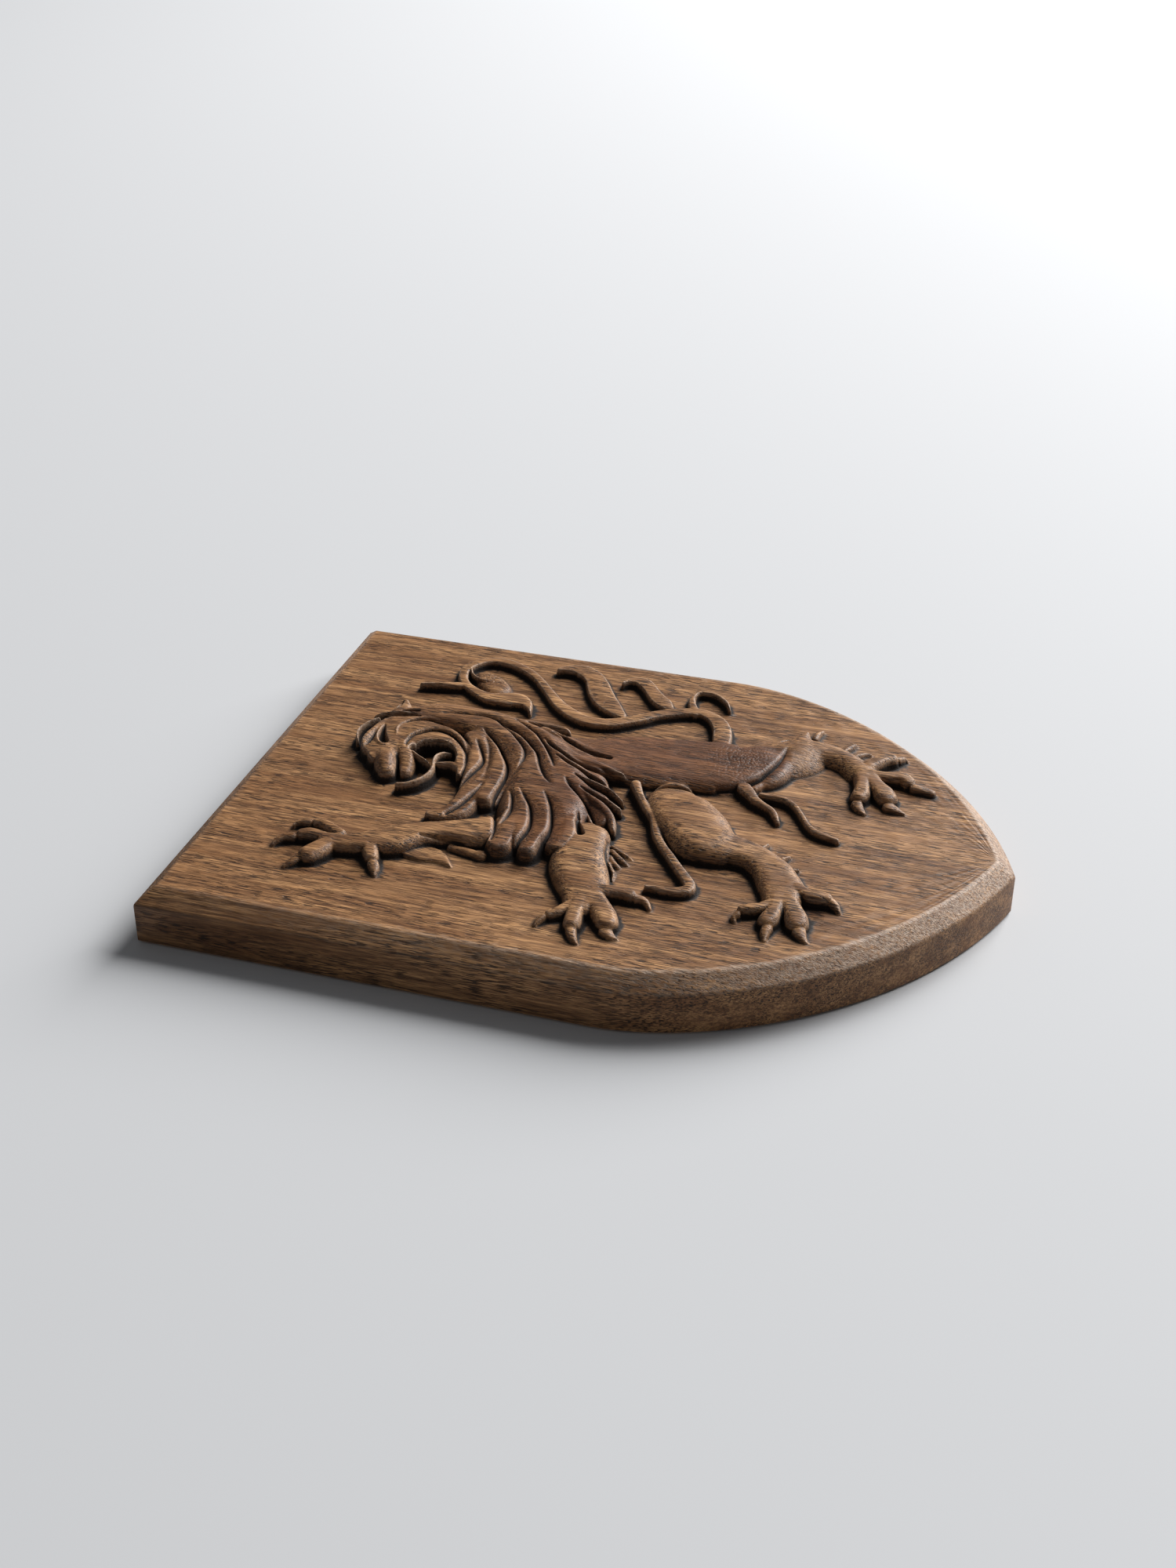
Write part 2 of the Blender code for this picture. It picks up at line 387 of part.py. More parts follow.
BELLY_TUFT = [
    (-51.8, 156.6, 0.8, 2.8), (-51.7, 161.5, 1.4, 3), (-51.4, 166, 1.7, 3.1), (-50, 169.4, 2.1, 3.2),
    (-47, 169.7, 2.1, 3.2), (-43.3, 167.4, 1.9, 3.2), (-38.9, 163.9, 1.8, 3.3), (-33.4, 159.8, 1.7, 3.4),
    (-28.2, 155.8, 1.6, 3.6), (-22, 152, 1.6, 3.8), (-13.5, 148.6, 1.5, 4), (-6, 143.6, 1.5, 4.2),
    (-1, 140.6, 1.5, 4.4), (6, 137, 2, 4.6),
]
GROIN_TUFTS = [
    [
        (15.5, 173, 2.6, 4), (12.6, 175.6, 2.2, 3.9), (9.4, 178.2, 1.7, 3.7), (6.6, 181.8, 1.2, 3.6),
        (4.7, 184.8, 1.2, 3.3), (2, 186.8, 1.2, 3), (-0.6, 188.2, 0.8, 2.4),
    ],
    [
        (13.2, 179.4, 1.1, 3.3), (13.5, 184.5, 1.1, 3.2), (12.6, 188, 1.1, 3.2), (9.8, 191.8, 1.1, 3.1),
        (3.6, 195.9, 1.1, 3), (-0.8, 198.5, 1.1, 3), (-3.8, 201.6, 1.2, 2.9), (-5.4, 205.6, 1.1, 2.8),
        (-6.2, 209.4, 0.9, 2.4),
    ],
]
ELBOW_TUFTS = [
    [
        (-50.5, 72, 4.4, 2.8), (-52, 79, 4.3, 1.7), (-52.4, 85, 3.6, 1.3), (-54.6, 89.4, 1.6, 1.1),
        (-56.6, 92, 0.4, 0.9),
    ],
    [(-46.8, 88.6, 1.2, 1.8), (-47.8, 94, 1.6, 2.2), (-48.6, 100, 2.2, 2.4)],
    [
        (-31.2, 139.4, 0.9, 1.8), (-32.5, 141.9, 0.9, 1.5), (-33.9, 144.9, 0.7, 1.1),
        (-35.2, 147.2, 0.3, 0.6),
    ],
    [(-33.8, 140, 1.2, 1.9), (-36.3, 142.9, 1.2, 1.6), (-38, 145.2, 1, 1.2), (-39, 146.8, 0.5, 0.8)],
    [(-37.3, 140.2, 1.2, 1.9), (-39.9, 142.4, 1.2, 1.5), (-41.2, 144.2, 0.9, 1.1)],
    [(-41.2, 140.6, 1.3, 1.8), (-43.4, 142.2, 1.2, 1.4), (-45.6, 143.8, 0.9, 1), (-49, 144.5, 0.4, 0.7)],
]
HOCK_TUFTS = [
    [(59, 189, 1.5, 1.9), (63, 189.6, 1.2, 1.7), (65.4, 190.9, 0.6, 1.3)],
    [(53.5, 200.5, 1.6, 1.9), (57.4, 202.6, 1.2, 1.7), (59.8, 203.8, 0.6, 1.2)],
    [(51, 205.2, 1.4, 1.8), (54, 208.2, 0.9, 1.4), (54.6, 210.2, 0.5, 0.9)],
    [(-18, 187, 1, 2.4), (-14.6, 188.1, 0.7, 1.6)],
    [(-22.4, 194.6, 0.9, 2.2), (-19.4, 196.4, 0.5, 1.3)],
    [(-27.4, 198, 1.1, 2), (-26, 200.6, 0.6, 1.1)],
]
RUMP_CUT = [
    (13, 164, 3, 1.4), (15.5, 170.8, 4, 2.2), (20.5, 175.9, 5, 2.4), (25.2, 178.4, 5, 2.2),
    (30.6, 180.4, 4.4, 1.8), (36.6, 181.5, 3.6, 1.2), (42.9, 182.1, 2.2, 0.5),
]
THIGH_CUT = [
    (-3, 134, 3, 1), (3, 139, 6, 2.4), (8, 144.8, 8, 3), (9.4, 150.2, 8.6, 3.2), (10, 156, 9, 3.2),
    (10.4, 162, 9, 3), (11.6, 167, 7, 2.6), (14, 171, 4, 1.6),
]
HAUNCH_MARK = [(48.8, 178.4, 0.4, 0.3), (51.6, 180.2, 0.9, 1.6), (54.2, 181.8, 0.3, 0.3)]


def smooth_path(rows, step):
    """A Catmull-Rom curve through the rows, with every column carried along."""
    rows = np.array(rows, float)
    padded = np.vstack([2 * rows[0] - rows[1], rows, 2 * rows[-1] - rows[-2]])
    stretches = []
    for before, start, end, after in zip(padded, padded[1:], padded[2:], padded[3:]):
        count = max(2, int(math.dist(start[:2], end[:2]) / step))
        t = (np.arange(count) / count)[:, None]
        stretches.append(
            0.5
            * (
                2 * start
                + (end - before) * t
                + (2 * before - 5 * start + 4 * end - after) * t**2
                + (3 * start - before - 3 * end + after) * t**3
            )
        )
    path = np.vstack(stretches + [rows[-1:]])
    path[:, 2:] = np.maximum(path[:, 2:], 0.01)
    return path


def ease(x):
    return x * x * (3 - 2 * x)


class Carving:
    """Heights above the ground, in millimetres, at each point of a grid over the face."""

    def __init__(self, across, down):
        self.across, self.down = across, down
        self.rise = np.zeros(across.shape)
        self.path_step = 1.0

    def beside(self, rows, margin):
        """For the points near a path: which they are, and their distance, side, path width and rise."""
        path = smooth_path(rows, self.path_step)
        reach = path[:, 2].max() + margin
        low = path[:, :2].min(axis=0) - reach
        high = path[:, :2].max(axis=0) + reach
        near = (self.across > low[0]) & (self.across < high[0])
        near &= (self.down > low[1]) & (self.down < high[1])
        x, y = self.across[near], self.down[near]
        distance = np.full(x.shape, 1e9)
        side = np.zeros(x.shape)
        width = np.zeros(x.shape)
        rise = np.zeros(x.shape)
        for start, end in zip(path, path[1:]):
            run, fall = end[:2] - start[:2]
            along = ((x - start[0]) * run + (y - start[1]) * fall) / (run**2 + fall**2 + 1e-12)
            along = np.clip(along, 0, 1)
            dx, dy = x - start[0] - along * run, y - start[1] - along * fall
            away = np.hypot(dx, dy)
            closer = away < distance
            distance = np.where(closer, away, distance)
            side = np.where(closer, np.sign(run * dy - fall * dx), side)
            width = np.where(closer, start[2] + (end[2] - start[2]) * along, width)
            rise = np.where(closer, start[3] + (end[3] - start[3]) * along, rise)
        return near, distance, side, width, rise

    def swell(self, rows, blend=1.5, square=3.0, fullness=1.8):
        """A rounded mass, run into what is there already over the height blend."""
        near, distance, _, width, rise = self.beside(rows, 0.5)
        top = rise * (1 - np.clip(distance / width, 0, 1) ** square) ** (1 / fullness)
        old = self.rise[near]
        share = np.clip(0.5 + 0.5 * (top - old) / blend, 0, 1)
        joined = old * (1 - share) + top * share + blend * share * (1 - share)
        self.rise[near] = np.where(distance < width, joined, old)

    def strip(self, rows, wall=0.6, dome=0.12):
        """A band with a nearly flat top and steep sides."""
        near, distance, _, width, rise = self.beside(rows, 1.0)
        top = rise * (1 - dome * np.clip(distance / width, 0, 1) ** 2)
        edge = ease(np.clip((width - distance) / wall + 0.5, 0, 1))
        self.rise[near] = np.maximum(self.rise[near], top * edge)

    def hollow(self, rows, power=0.8, floor=0.0):
        """A cut that slopes on both sides, down to the floor at most."""
        near, distance, _, width, depth = self.beside(rows, 0.5)
        fall = depth * (1 - np.clip(distance / width, 0, 1)) ** power
        old = self.rise[near]
        self.rise[near] = np.maximum(old - fall, np.minimum(old, floor))

    def part(self, rows, gentle=1, rim=1.7):
        """A parting cut: a rounded rim falls into a crevice, and the next lock climbs out of it."""
        near, distance, side, width, depth = self.beside(rows, 2.5)
        offset = distance * np.where(side == 0, 1, side) * gentle
        past = np.maximum(offset, 0)
        climb = 0.4 * np.exp(-past / 0.45) + 0.6 * np.clip(1 - past / width, 0, 1) ** 1.2
        up = np.clip(-offset / np.minimum(rim, width * 0.6), 0, 1)
        curl = 1 - np.sqrt(np.clip(1 - (1 - up) ** 2, 0, 1))
        old = self.rise[near]
        fall = depth * np.where(offset >= 0, climb, curl) + 0.5 * depth * np.exp(-np.abs(offset) / 0.4)
        self.rise[near] = np.maximum(old - fall, np.minimum(old, 0))

    def ridge(self, rows):
        """A soft raised line on what is there already."""
        near, distance, _, width, height = self.beside(rows, 0.5)
        swelling = height * (1 - np.clip(distance / width, 0, 1) ** 2) ** 2
        self.rise[near] += swelling * np.clip(self.rise[near], 0, 1)


def carve_head(work):
    work.strip(FACE, wall=1.3, dome=0.12)
    work.swell(CHEEK, blend=0.8, square=6.0, fullness=1.8)
    work.swell(EAR, blend=0.5, square=4.0, fullness=1.6)
    work.swell(UPPER_LIP, blend=0.8, square=3.0, fullness=1.8)
    work.swell(MUZZLE, blend=0.6, square=2.6, fullness=2.0)
    work.hollow(MOUTH, power=0.22, floor=-2.5)
    work.hollow(LIP_NOTCH, power=0.5)
    for cut in CHEEK_CUTS:
        work.part(cut, rim=1.2)
    work.strip(LOWER_JAW, wall=0.5, dome=0.2)
    work.strip(TONGUE, wall=0.5)
    work.strip(FANG, wall=0.5, dome=0.3)
    work.ridge(BROW)
    work.hollow(BROW_CUT)
    work.ridge(EYELID)
    work.ridge(CHEEK_MARK)
    work.hollow(EYE, power=0.5)
    work.strip(FORELOCK, wall=0.5, dome=0.3)
    work.strip(EAR_RIDGE, wall=0.5, dome=0.3)
    work.hollow(FORELOCK_CUT, power=0.6)
    for cut in EAR_CUTS:
        work.hollow(cut, power=0.6)


def carve_mane(work):
    for rows in MANE.values():
        work.swell(rows, blend=1.2, square=5.0, fullness=1.6)
    for rows in CHEST_ENDS:
        work.strip(rows, wall=2.6, dome=0.08)
    for tip in LOCK_TIPS:
        work.swell(tip, blend=0.5, square=3.0, fullness=1.8)
    for cut in LOCK_CUTS:
        work.part(cut)
    for cut in WEDGE_CUTS:
        work.hollow(cut, power=0.7)


def carve_paws(work):
    for toe, claw in TOES:
        work.swell(toe, blend=0.4, square=3.6, fullness=2.2)
        work.strip(claw, wall=0.5, dome=0.25)


def carve_tail(work):
    work.strip(TAIL, wall=0.5, dome=0.1)
    for flame in TAIL_FLAMES:
        work.strip(flame, wall=0.5, dome=0.1)
    work.strip(TAIL_RING, wall=0.45)
    work.strip(TAIL_BAR, wall=0.45)
    work.swell(TAIL_MOUND, blend=0.5)
    work.strip(MOUND_RIM, wall=0.45)


def carve_tufts(work):
    work.strip(BELLY_TUFT, wall=0.5, dome=0.15)
    for tuft in GROIN_TUFTS:
        work.strip(tuft, wall=0.45)
    for tuft in ELBOW_TUFTS + HOCK_TUFTS:
        work.strip(tuft, wall=0.5, dome=0.4)


def carve_lion(work):
    for name, rows in BODY.items():
        if name.startswith("far"):
            work.swell(rows, square=2.2, fullness=1.4)
        else:
            work.swell(rows, square=4.0, fullness=2.0)
    work.part(THIGH_CUT)
    carve_mane(work)
    carve_head(work)
    work.part(RUMP_CUT, gentle=1)
    work.hollow(HAUNCH_MARK)
    carve_paws(work)
    carve_tail(work)
    carve_tufts(work)


def outline():
    """The shield's outline, clockwise from the top left corner, as points of the XZ plane."""
    half = BOARD_WIDTH / 2
    top = HANG_DROP
    shoulder = Vector((half, 0, top - SIDE_LENGTH))
    tip = Vector((0, 0, top - BOARD_HEIGHT))
    leave_side = shoulder + Vector((0, 0, -SHOULDER_PULL))
    leave_tip = tip + TIP_PULL * Vector((math.cos(TIP_ANGLE), 0, math.sin(TIP_ANGLE)))
    right = [Vector((half, 0, top))]
    right += interpolate_bezier(shoulder, leave_side, leave_tip, tip, CURVE_STEPS + 1)
    left = [Vector((-p.x, 0, p.z)) for p in reversed(right[:-1])]
    return right + left


def add_object(name, bm, collection):
    bmesh.ops.recalc_face_normals(bm, faces=bm.faces)
    mesh = bpy.data.meshes.new(name)
    bm.to_mesh(mesh)
    bm.free()
    obj = bpy.data.objects.new(name, mesh)
    collection.objects.link(obj)
    return obj


def put_in_order(mesh):
    """Lists the faces by their vertices, so that thinning them out gives the same result every time."""
    faces = []
    for face in mesh.polygons:
        corners = list(face.vertices)
        first = corners.index(min(corners))
        faces.append(corners[first:] + corners[:first])
    points = [vert.co.copy() for vert in mesh.vertices]
    mesh.clear_geometry()
    mesh.from_pydata(points, [], sorted(faces))
    mesh.update()


def board(collection):
    """The shield blank: its outline drawn forward from the back, then bevelled round the face."""
    bm = bmesh.new()
    back = bm.faces.new([bm.verts.new(p) for p in outline()])
    bm.faces.ensure_lookup_table()
    grown = bmesh.ops.extrude_face_region(bm, geom=[back], use_keep_orig=True)["geom"]
    front = next(part for part in grown if isinstance(part, bmesh.types.BMFace))
    for vert in front.verts:
        vert.co.y = -(FACE_THICKNESS - CHAMFER_DEEP)
    bmesh.ops.recalc_face_normals(bm, faces=bm.faces)
    bmesh.ops.inset_region(
        bm, faces=[front], thickness=CHAMFER_IN, depth=CHAMFER_DEEP, use_even_offset=True
    )
    return add_object("carved_shield", bm, collection)


def lion(collection):
    """The lion as a body of its own: a grid raised to the carving's heights, closed below the ground."""
    columns = round((CARVED_ACROSS[1] - CARVED_ACROSS[0]) / GRID_STEP)
    rows = round((CARVED_DOWN[1] - CARVED_DOWN[0]) / GRID_STEP)
    across = np.linspace(*CARVED_ACROSS, columns + 1)
    down = np.linspace(*CARVED_DOWN, rows + 1)
    work = Carving(*np.meshgrid(across, down))
    carve_lion(work)
    work.rise = np.maximum(work.rise, 0)
    skin = work.rise - DIP * (1 - np.clip(work.rise / LEAST_RISE, 0, 1))
    bm = bmesh.new()
    bmesh.ops.create_grid(bm, x_segments=columns, y_segments=rows, size=1)
    for vert in bm.verts:
        column = round((vert.co.x + 1) / 2 * columns)
        row = round((1 - vert.co.y) / 2 * rows)
        x = work.across[row, column] * MM
        z = HANG_DROP - work.down[row, column] * MM
        vert.co = (x, -FACE_THICKNESS - skin[row, column] * MM, z)
    buried = -FACE_THICKNESS + DIP * MM * 0.999
    bare = [face for face in bm.faces if all(vert.co.y > buried for vert in face.verts)]
    bmesh.ops.delete(bm, geom=bare, context="FACES")
    roots = bmesh.ops.extrude_face_region(bm, geom=bm.faces[:], use_keep_orig=True)["geom"]
    for vert in (part for part in roots if isinstance(part, bmesh.types.BMVert)):
        vert.co.y = -FACE_THICKNESS + ROOT_DEPTH * MM
    body = add_object("lion", bm, collection)
    put_in_order(body.data)
    thin = body.modifiers.new("Thin out", "DECIMATE")
    thin.ratio = KEEP_SHARE
    return body


def wood():
    material = bpy.data.materials.new("carved wood")
    material.use_nodes = True
    shader = material.node_tree.nodes["Principled BSDF"]
    shader.inputs["Base Color"].default_value = (0.19, 0.105, 0.055, 1)
    shader.inputs["Roughness"].default_value = 0.55
    shader.inputs["Metallic"].default_value = 0.0
    return material


def new_collection(name):
    collection = bpy.data.collections.new(name)
    bpy.context.scene.collection.children.link(collection)
    return collection


def main():
    for obj in list(bpy.data.objects):
        bpy.data.objects.remove(obj)
    shield = board(new_collection("wall plaque"))
    shield.data.materials.append(wood())
    figure = lion(new_collection("joined shapes"))
    figure.hide_render = True
    figure.display_type = "WIRE"
    join = shield.modifiers.new("Lion", "BOOLEAN")
    join.operation = "UNION"
    join.solver = "EXACT"
    join.object = figure


main()
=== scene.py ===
"""A carved wooden wall plaque: a shield-shaped board with a lion rampant standing in relief on its face."""

import math

import bmesh
import bpy
import numpy as np
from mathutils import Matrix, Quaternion, Vector
from mathutils.geometry import interpolate_bezier


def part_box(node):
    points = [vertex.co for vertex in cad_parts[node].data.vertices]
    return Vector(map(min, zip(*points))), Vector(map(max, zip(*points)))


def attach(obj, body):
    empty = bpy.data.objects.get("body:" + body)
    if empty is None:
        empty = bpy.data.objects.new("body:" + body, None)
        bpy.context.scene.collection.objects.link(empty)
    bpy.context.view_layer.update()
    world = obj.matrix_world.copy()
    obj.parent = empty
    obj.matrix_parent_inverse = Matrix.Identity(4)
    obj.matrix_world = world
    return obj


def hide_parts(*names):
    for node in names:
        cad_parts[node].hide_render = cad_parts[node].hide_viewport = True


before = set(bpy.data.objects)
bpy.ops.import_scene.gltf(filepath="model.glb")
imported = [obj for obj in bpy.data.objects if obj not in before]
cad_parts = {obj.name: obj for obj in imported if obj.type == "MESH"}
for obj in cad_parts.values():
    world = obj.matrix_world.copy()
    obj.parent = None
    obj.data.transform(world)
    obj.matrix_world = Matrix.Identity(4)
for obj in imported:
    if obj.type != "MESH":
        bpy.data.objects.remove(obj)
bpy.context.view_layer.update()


# The board. One thick piece of open-grained brown hardwood, sawn to a heater shield and planed flat.
# Its face is a fine grid that narrows with the shield, so that the lion can be carved on it below.
MM = 0.001
GRID_STEP = 0.25  # mm
BEVEL_IN, BEVEL_DEEP = 5.5, 4.8  # mm
EASED_IN = 0.9  # mm, flat rim that the worn edge of the bevel eats into
FACE_THICKNESS = 19.3  # mm, from the back to the ground round the lion
SIDE_LENGTH = 151.5  # mm, straight part of each side
SHOULDER_PULL, TIP_PULL = 39.5, 66.5  # mm, how far each end of a lower side bends it
TIP_ANGLE = math.radians(17.6)

board_low, board_high = (Vector(corner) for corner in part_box("carved_shield"))
board_width = (board_high.x - board_low.x) / MM
board_height = (board_high.z - board_low.z) / MM
most_rise = (board_high.y - board_low.y) / MM - FACE_THICKNESS

# The right half of the outline, from the top corner to the tip, as (across, down).
shoulder = Vector((board_width / 2, SIDE_LENGTH, 0))
tip = Vector((0, board_height, 0))
leave_side = shoulder + Vector((0, SHOULDER_PULL, 0))
leave_tip = tip + TIP_PULL * Vector((math.cos(TIP_ANGLE), -math.sin(TIP_ANGLE), 0))
straight = [(board_width / 2, down) for down in np.arange(0, SIDE_LENGTH, 1.0)]
curved = [tuple(p[:2]) for p in interpolate_bezier(shoulder, leave_side, leave_tip, tip, 400)]
outer = np.array(straight + curved)
run = np.gradient(outer, axis=0)
run /= np.linalg.norm(run, axis=1)[:, None]
outward = np.column_stack([-run[:, 1], run[:, 0]])
outward *= np.sign(outward[:1, :1])
rim_in = BEVEL_IN + EASED_IN
rim = outer - rim_in * outward
rim[0] = outer[0] + (-rim_in, rim_in)
inside = rim[:, 0] > 0
rim, outer_of_rim = rim[inside], outer[inside]
rim_end = rim[-1] + (rim[-1] - rim[-2]) * rim[-1, 0] / (rim[-2, 0] - rim[-1, 0])
rim = np.vstack([rim, (0, rim_end[1])])
outer_of_rim = np.vstack([outer_of_rim, (0, board_height)])

columns = round(2 * rim[0, 0] / GRID_STEP)
rows = round((rim[-1, 1] - rim[0, 1]) / GRID_STEP)
share_across = np.linspace(-1, 1, columns + 1)
down_of_row = np.linspace(rim[0, 1], rim[-1, 1], rows + 1)
half_of_row = np.interp(down_of_row, rim[:, 1], rim[:, 0])
across = half_of_row[:, None] * share_across[None, :]
down = np.repeat(down_of_row[:, None], columns + 1, axis=1)


# The carving strokes. Every form is drawn along a path over the face, as a chisel would follow it.
# A path's rows are (across, down, half width, rise) in mm, and a cut's last number is its depth.
def smooth_path(rows, step):
    """A Catmull-Rom curve through the rows, with every column carried along."""
    rows = np.array(rows, float)
    padded = np.vstack([2 * rows[0] - rows[1], rows, 2 * rows[-1] - rows[-2]])
    stretches = []
    for before, start, end, after in zip(padded, padded[1:], padded[2:], padded[3:]):
        count = max(2, int(math.dist(start[:2], end[:2]) / step))
        t = (np.arange(count) / count)[:, None]
        stretches.append(
            0.5
            * (
                2 * start
                + (end - before) * t
                + (2 * before - 5 * start + 4 * end - after) * t**2
                + (3 * start - before - 3 * end + after) * t**3
            )
        )
    path = np.vstack(stretches + [rows[-1:]])
    path[:, 2:] = np.maximum(path[:, 2:], 0.01)
    return path


def ease(x):
    return x * x * (3 - 2 * x)


class Carving:
    """Heights above the ground, in millimetres, at each point of a grid over the face."""

    def __init__(self, across, down):
        self.across, self.down = across, down
        self.rise = np.zeros(across.shape)
        self.path_step = 1.0

    def beside(self, rows, margin):
        """For the points near a path: which they are, and their distance, side, path width and rise."""
        path = smooth_path(rows, self.path_step)
        reach = path[:, 2].max() + margin
        low = path[:, :2].min(axis=0) - reach
        high = path[:, :2].max(axis=0) + reach
        near = (self.across > low[0]) & (self.across < high[0])
        near &= (self.down > low[1]) & (self.down < high[1])
        x, y = self.across[near], self.down[near]
        distance = np.full(x.shape, 1e9)
        side = np.zeros(x.shape)
        width = np.zeros(x.shape)
        rise = np.zeros(x.shape)
        for start, end in zip(path, path[1:]):
            run, fall = end[:2] - start[:2]
            along = ((x - start[0]) * run + (y - start[1]) * fall) / (run**2 + fall**2 + 1e-12)
            along = np.clip(along, 0, 1)
            dx, dy = x - start[0] - along * run, y - start[1] - along * fall
            away = np.hypot(dx, dy)
            closer = away < distance
            distance = np.where(closer, away, distance)
            side = np.where(closer, np.sign(run * dy - fall * dx), side)
            width = np.where(closer, start[2] + (end[2] - start[2]) * along, width)
            rise = np.where(closer, start[3] + (end[3] - start[3]) * along, rise)
        return near, distance, side, width, rise

    def swell(self, rows, blend=1.5, square=3.0, fullness=1.8):
        """A rounded mass, run into what is there already over the height blend."""
        near, distance, _, width, rise = self.beside(rows, 0.5)
        top = rise * (1 - np.clip(distance / width, 0, 1) ** square) ** (1 / fullness)
        old = self.rise[near]
        share = np.clip(0.5 + 0.5 * (top - old) / blend, 0, 1)
        joined = old * (1 - share) + top * share + blend * share * (1 - share)
        self.rise[near] = np.where(distance < width, joined, old)

    def strip(self, rows, wall=0.6, dome=0.12):
        """A band with a nearly flat top and steep sides."""
        near, distance, _, width, rise = self.beside(rows, 1.0)
        top = rise * (1 - dome * np.clip(distance / width, 0, 1) ** 2)
        edge = ease(np.clip((width - distance) / wall + 0.5, 0, 1))
        self.rise[near] = np.maximum(self.rise[near], top * edge)

    def hollow(self, rows, power=0.8, floor=0.0):
        """A cut that slopes on both sides, down to the floor at most."""
        near, distance, _, width, depth = self.beside(rows, 0.5)
        fall = depth * (1 - np.clip(distance / width, 0, 1)) ** power
        old = self.rise[near]
        self.rise[near] = np.maximum(old - fall, np.minimum(old, floor))

    def part(self, rows, gentle=1, rim=1.7):
        """A parting cut: a rounded rim falls into a crevice, and the next lock climbs out of it."""
        near, distance, side, width, depth = self.beside(rows, 2.5)
        offset = distance * np.where(side == 0, 1, side) * gentle
        past = np.maximum(offset, 0)
        climb = 0.4 * np.exp(-past / 0.45) + 0.6 * np.clip(1 - past / width, 0, 1) ** 1.2
        up = np.clip(-offset / np.minimum(rim, width * 0.6), 0, 1)
        curl = 1 - np.sqrt(np.clip(1 - (1 - up) ** 2, 0, 1))
        old = self.rise[near]
        fall = depth * np.where(offset >= 0, climb, curl) + 0.5 * depth * np.exp(-np.abs(offset) / 0.4)
        self.rise[near] = np.maximum(old - fall, np.minimum(old, 0))

    def ridge(self, rows):
        """A soft raised line on what is there already."""
        near, distance, _, width, height = self.beside(rows, 0.5)
        swelling = height * (1 - np.clip(distance / width, 0, 1) ** 2) ** 2
        self.rise[near] += swelling * np.clip(self.rise[near], 0, 1)


work = Carving(across, down)


# The body. Broad rounded masses for the trunk, the thighs and the legs, softer on the far leg than elsewhere.
# The near thigh tucks in under the trunk, and the rump overhangs the far thigh.
BODY = {
    "torso": [
        (20, 108, 12, 5.2), (21, 120, 13.5, 5.2), (24, 131, 16, 5), (25.5, 142, 16.4, 5),
        (27.4, 152, 16.4, 5), (28.3, 161, 16.4, 5.2), (29, 168, 15.6, 5.2),
        (31.5, 173.4, 13.2, 5.2),
    ],
    "far_thigh": [(33, 170, 12, 5), (40, 179, 12.5, 4.9), (44, 184, 12.4, 4.8)],
    "far_shank": [
        (43, 183, 9, 4.8), (47.6, 190, 9.2, 4.8), (48.6, 195, 7.2, 4.6), (47.2, 200, 6.1, 4.4),
        (44.4, 204.6, 5.8, 4.3), (41, 208.4, 6.2, 4.2), (37.8, 211.4, 6.2, 4.1),
    ],
    "far_hock": [(46, 186, 8, 4.8), (53, 185.6, 5.4, 4.5), (58.4, 186.2, 1.6, 3.8)],
    "near_thigh": [
        (3, 151, 9.5, 4.6), (-1, 153, 11, 5.4), (-7.5, 157.8, 12.2, 6.2),
        (-14, 162.8, 12.6, 6.4), (-20, 167.2, 11.8, 6.2),
    ],
    "near_shank": [
        (-20.5, 164, 8, 5.8), (-22.2, 170, 9.6, 6), (-23, 175, 8.8, 5.7),
        (-23.4, 180, 7.2, 5.3), (-25.2, 185.6, 6.5, 5), (-28.2, 189.8, 6.6, 4.9),
        (-31.6, 193.4, 7.2, 4.8), (-36.2, 196.2, 7.6, 4.6), (-40.4, 198.4, 7.8, 4.4),
        (-45.5, 199.4, 6.6, 4.3),
    ],
    "low_foreleg": [
        (-30, 130.4, 8, 5.4), (-38, 131, 9.2, 5.4), (-45, 132, 9.8, 5.2),
        (-51, 134.4, 9.6, 4.9), (-57, 137.2, 8.8, 4.7), (-62, 138.9, 7.6, 4.5),
        (-67, 139.6, 6.2, 4.3),
    ],
    "high_foreleg": [
        (-35, 101, 8.6, 5.4), (-38.8, 92, 7.4, 5.3), (-41, 84.5, 5.8, 5.2),
        (-43.8, 78, 5.8, 5.1), (-49.3, 70.5, 7.6, 5), (-54.2, 62, 5.8, 4.8),
        (-56.8, 55.5, 4.4, 4.5), (-57.4, 50, 4.6, 4.4),
    ],
}
THIGH_CUT = [
    (-3, 134, 3, 1), (3, 139, 6, 2.4), (8, 144.8, 8, 3), (9.4, 150.2, 8.6, 3.2), (10, 156, 9, 3.2),
    (10.4, 162, 9, 3), (11.6, 167, 7, 2.6), (14, 171, 4, 1.6),
]
for name, path in BODY.items():
    soft = name.startswith("far")
    work.swell(path, square=2.2 if soft else 4.0, fullness=1.4 if soft else 2.0)
    if name == "torso":
        stained = work.rise > 2
work.part(THIGH_CUT)


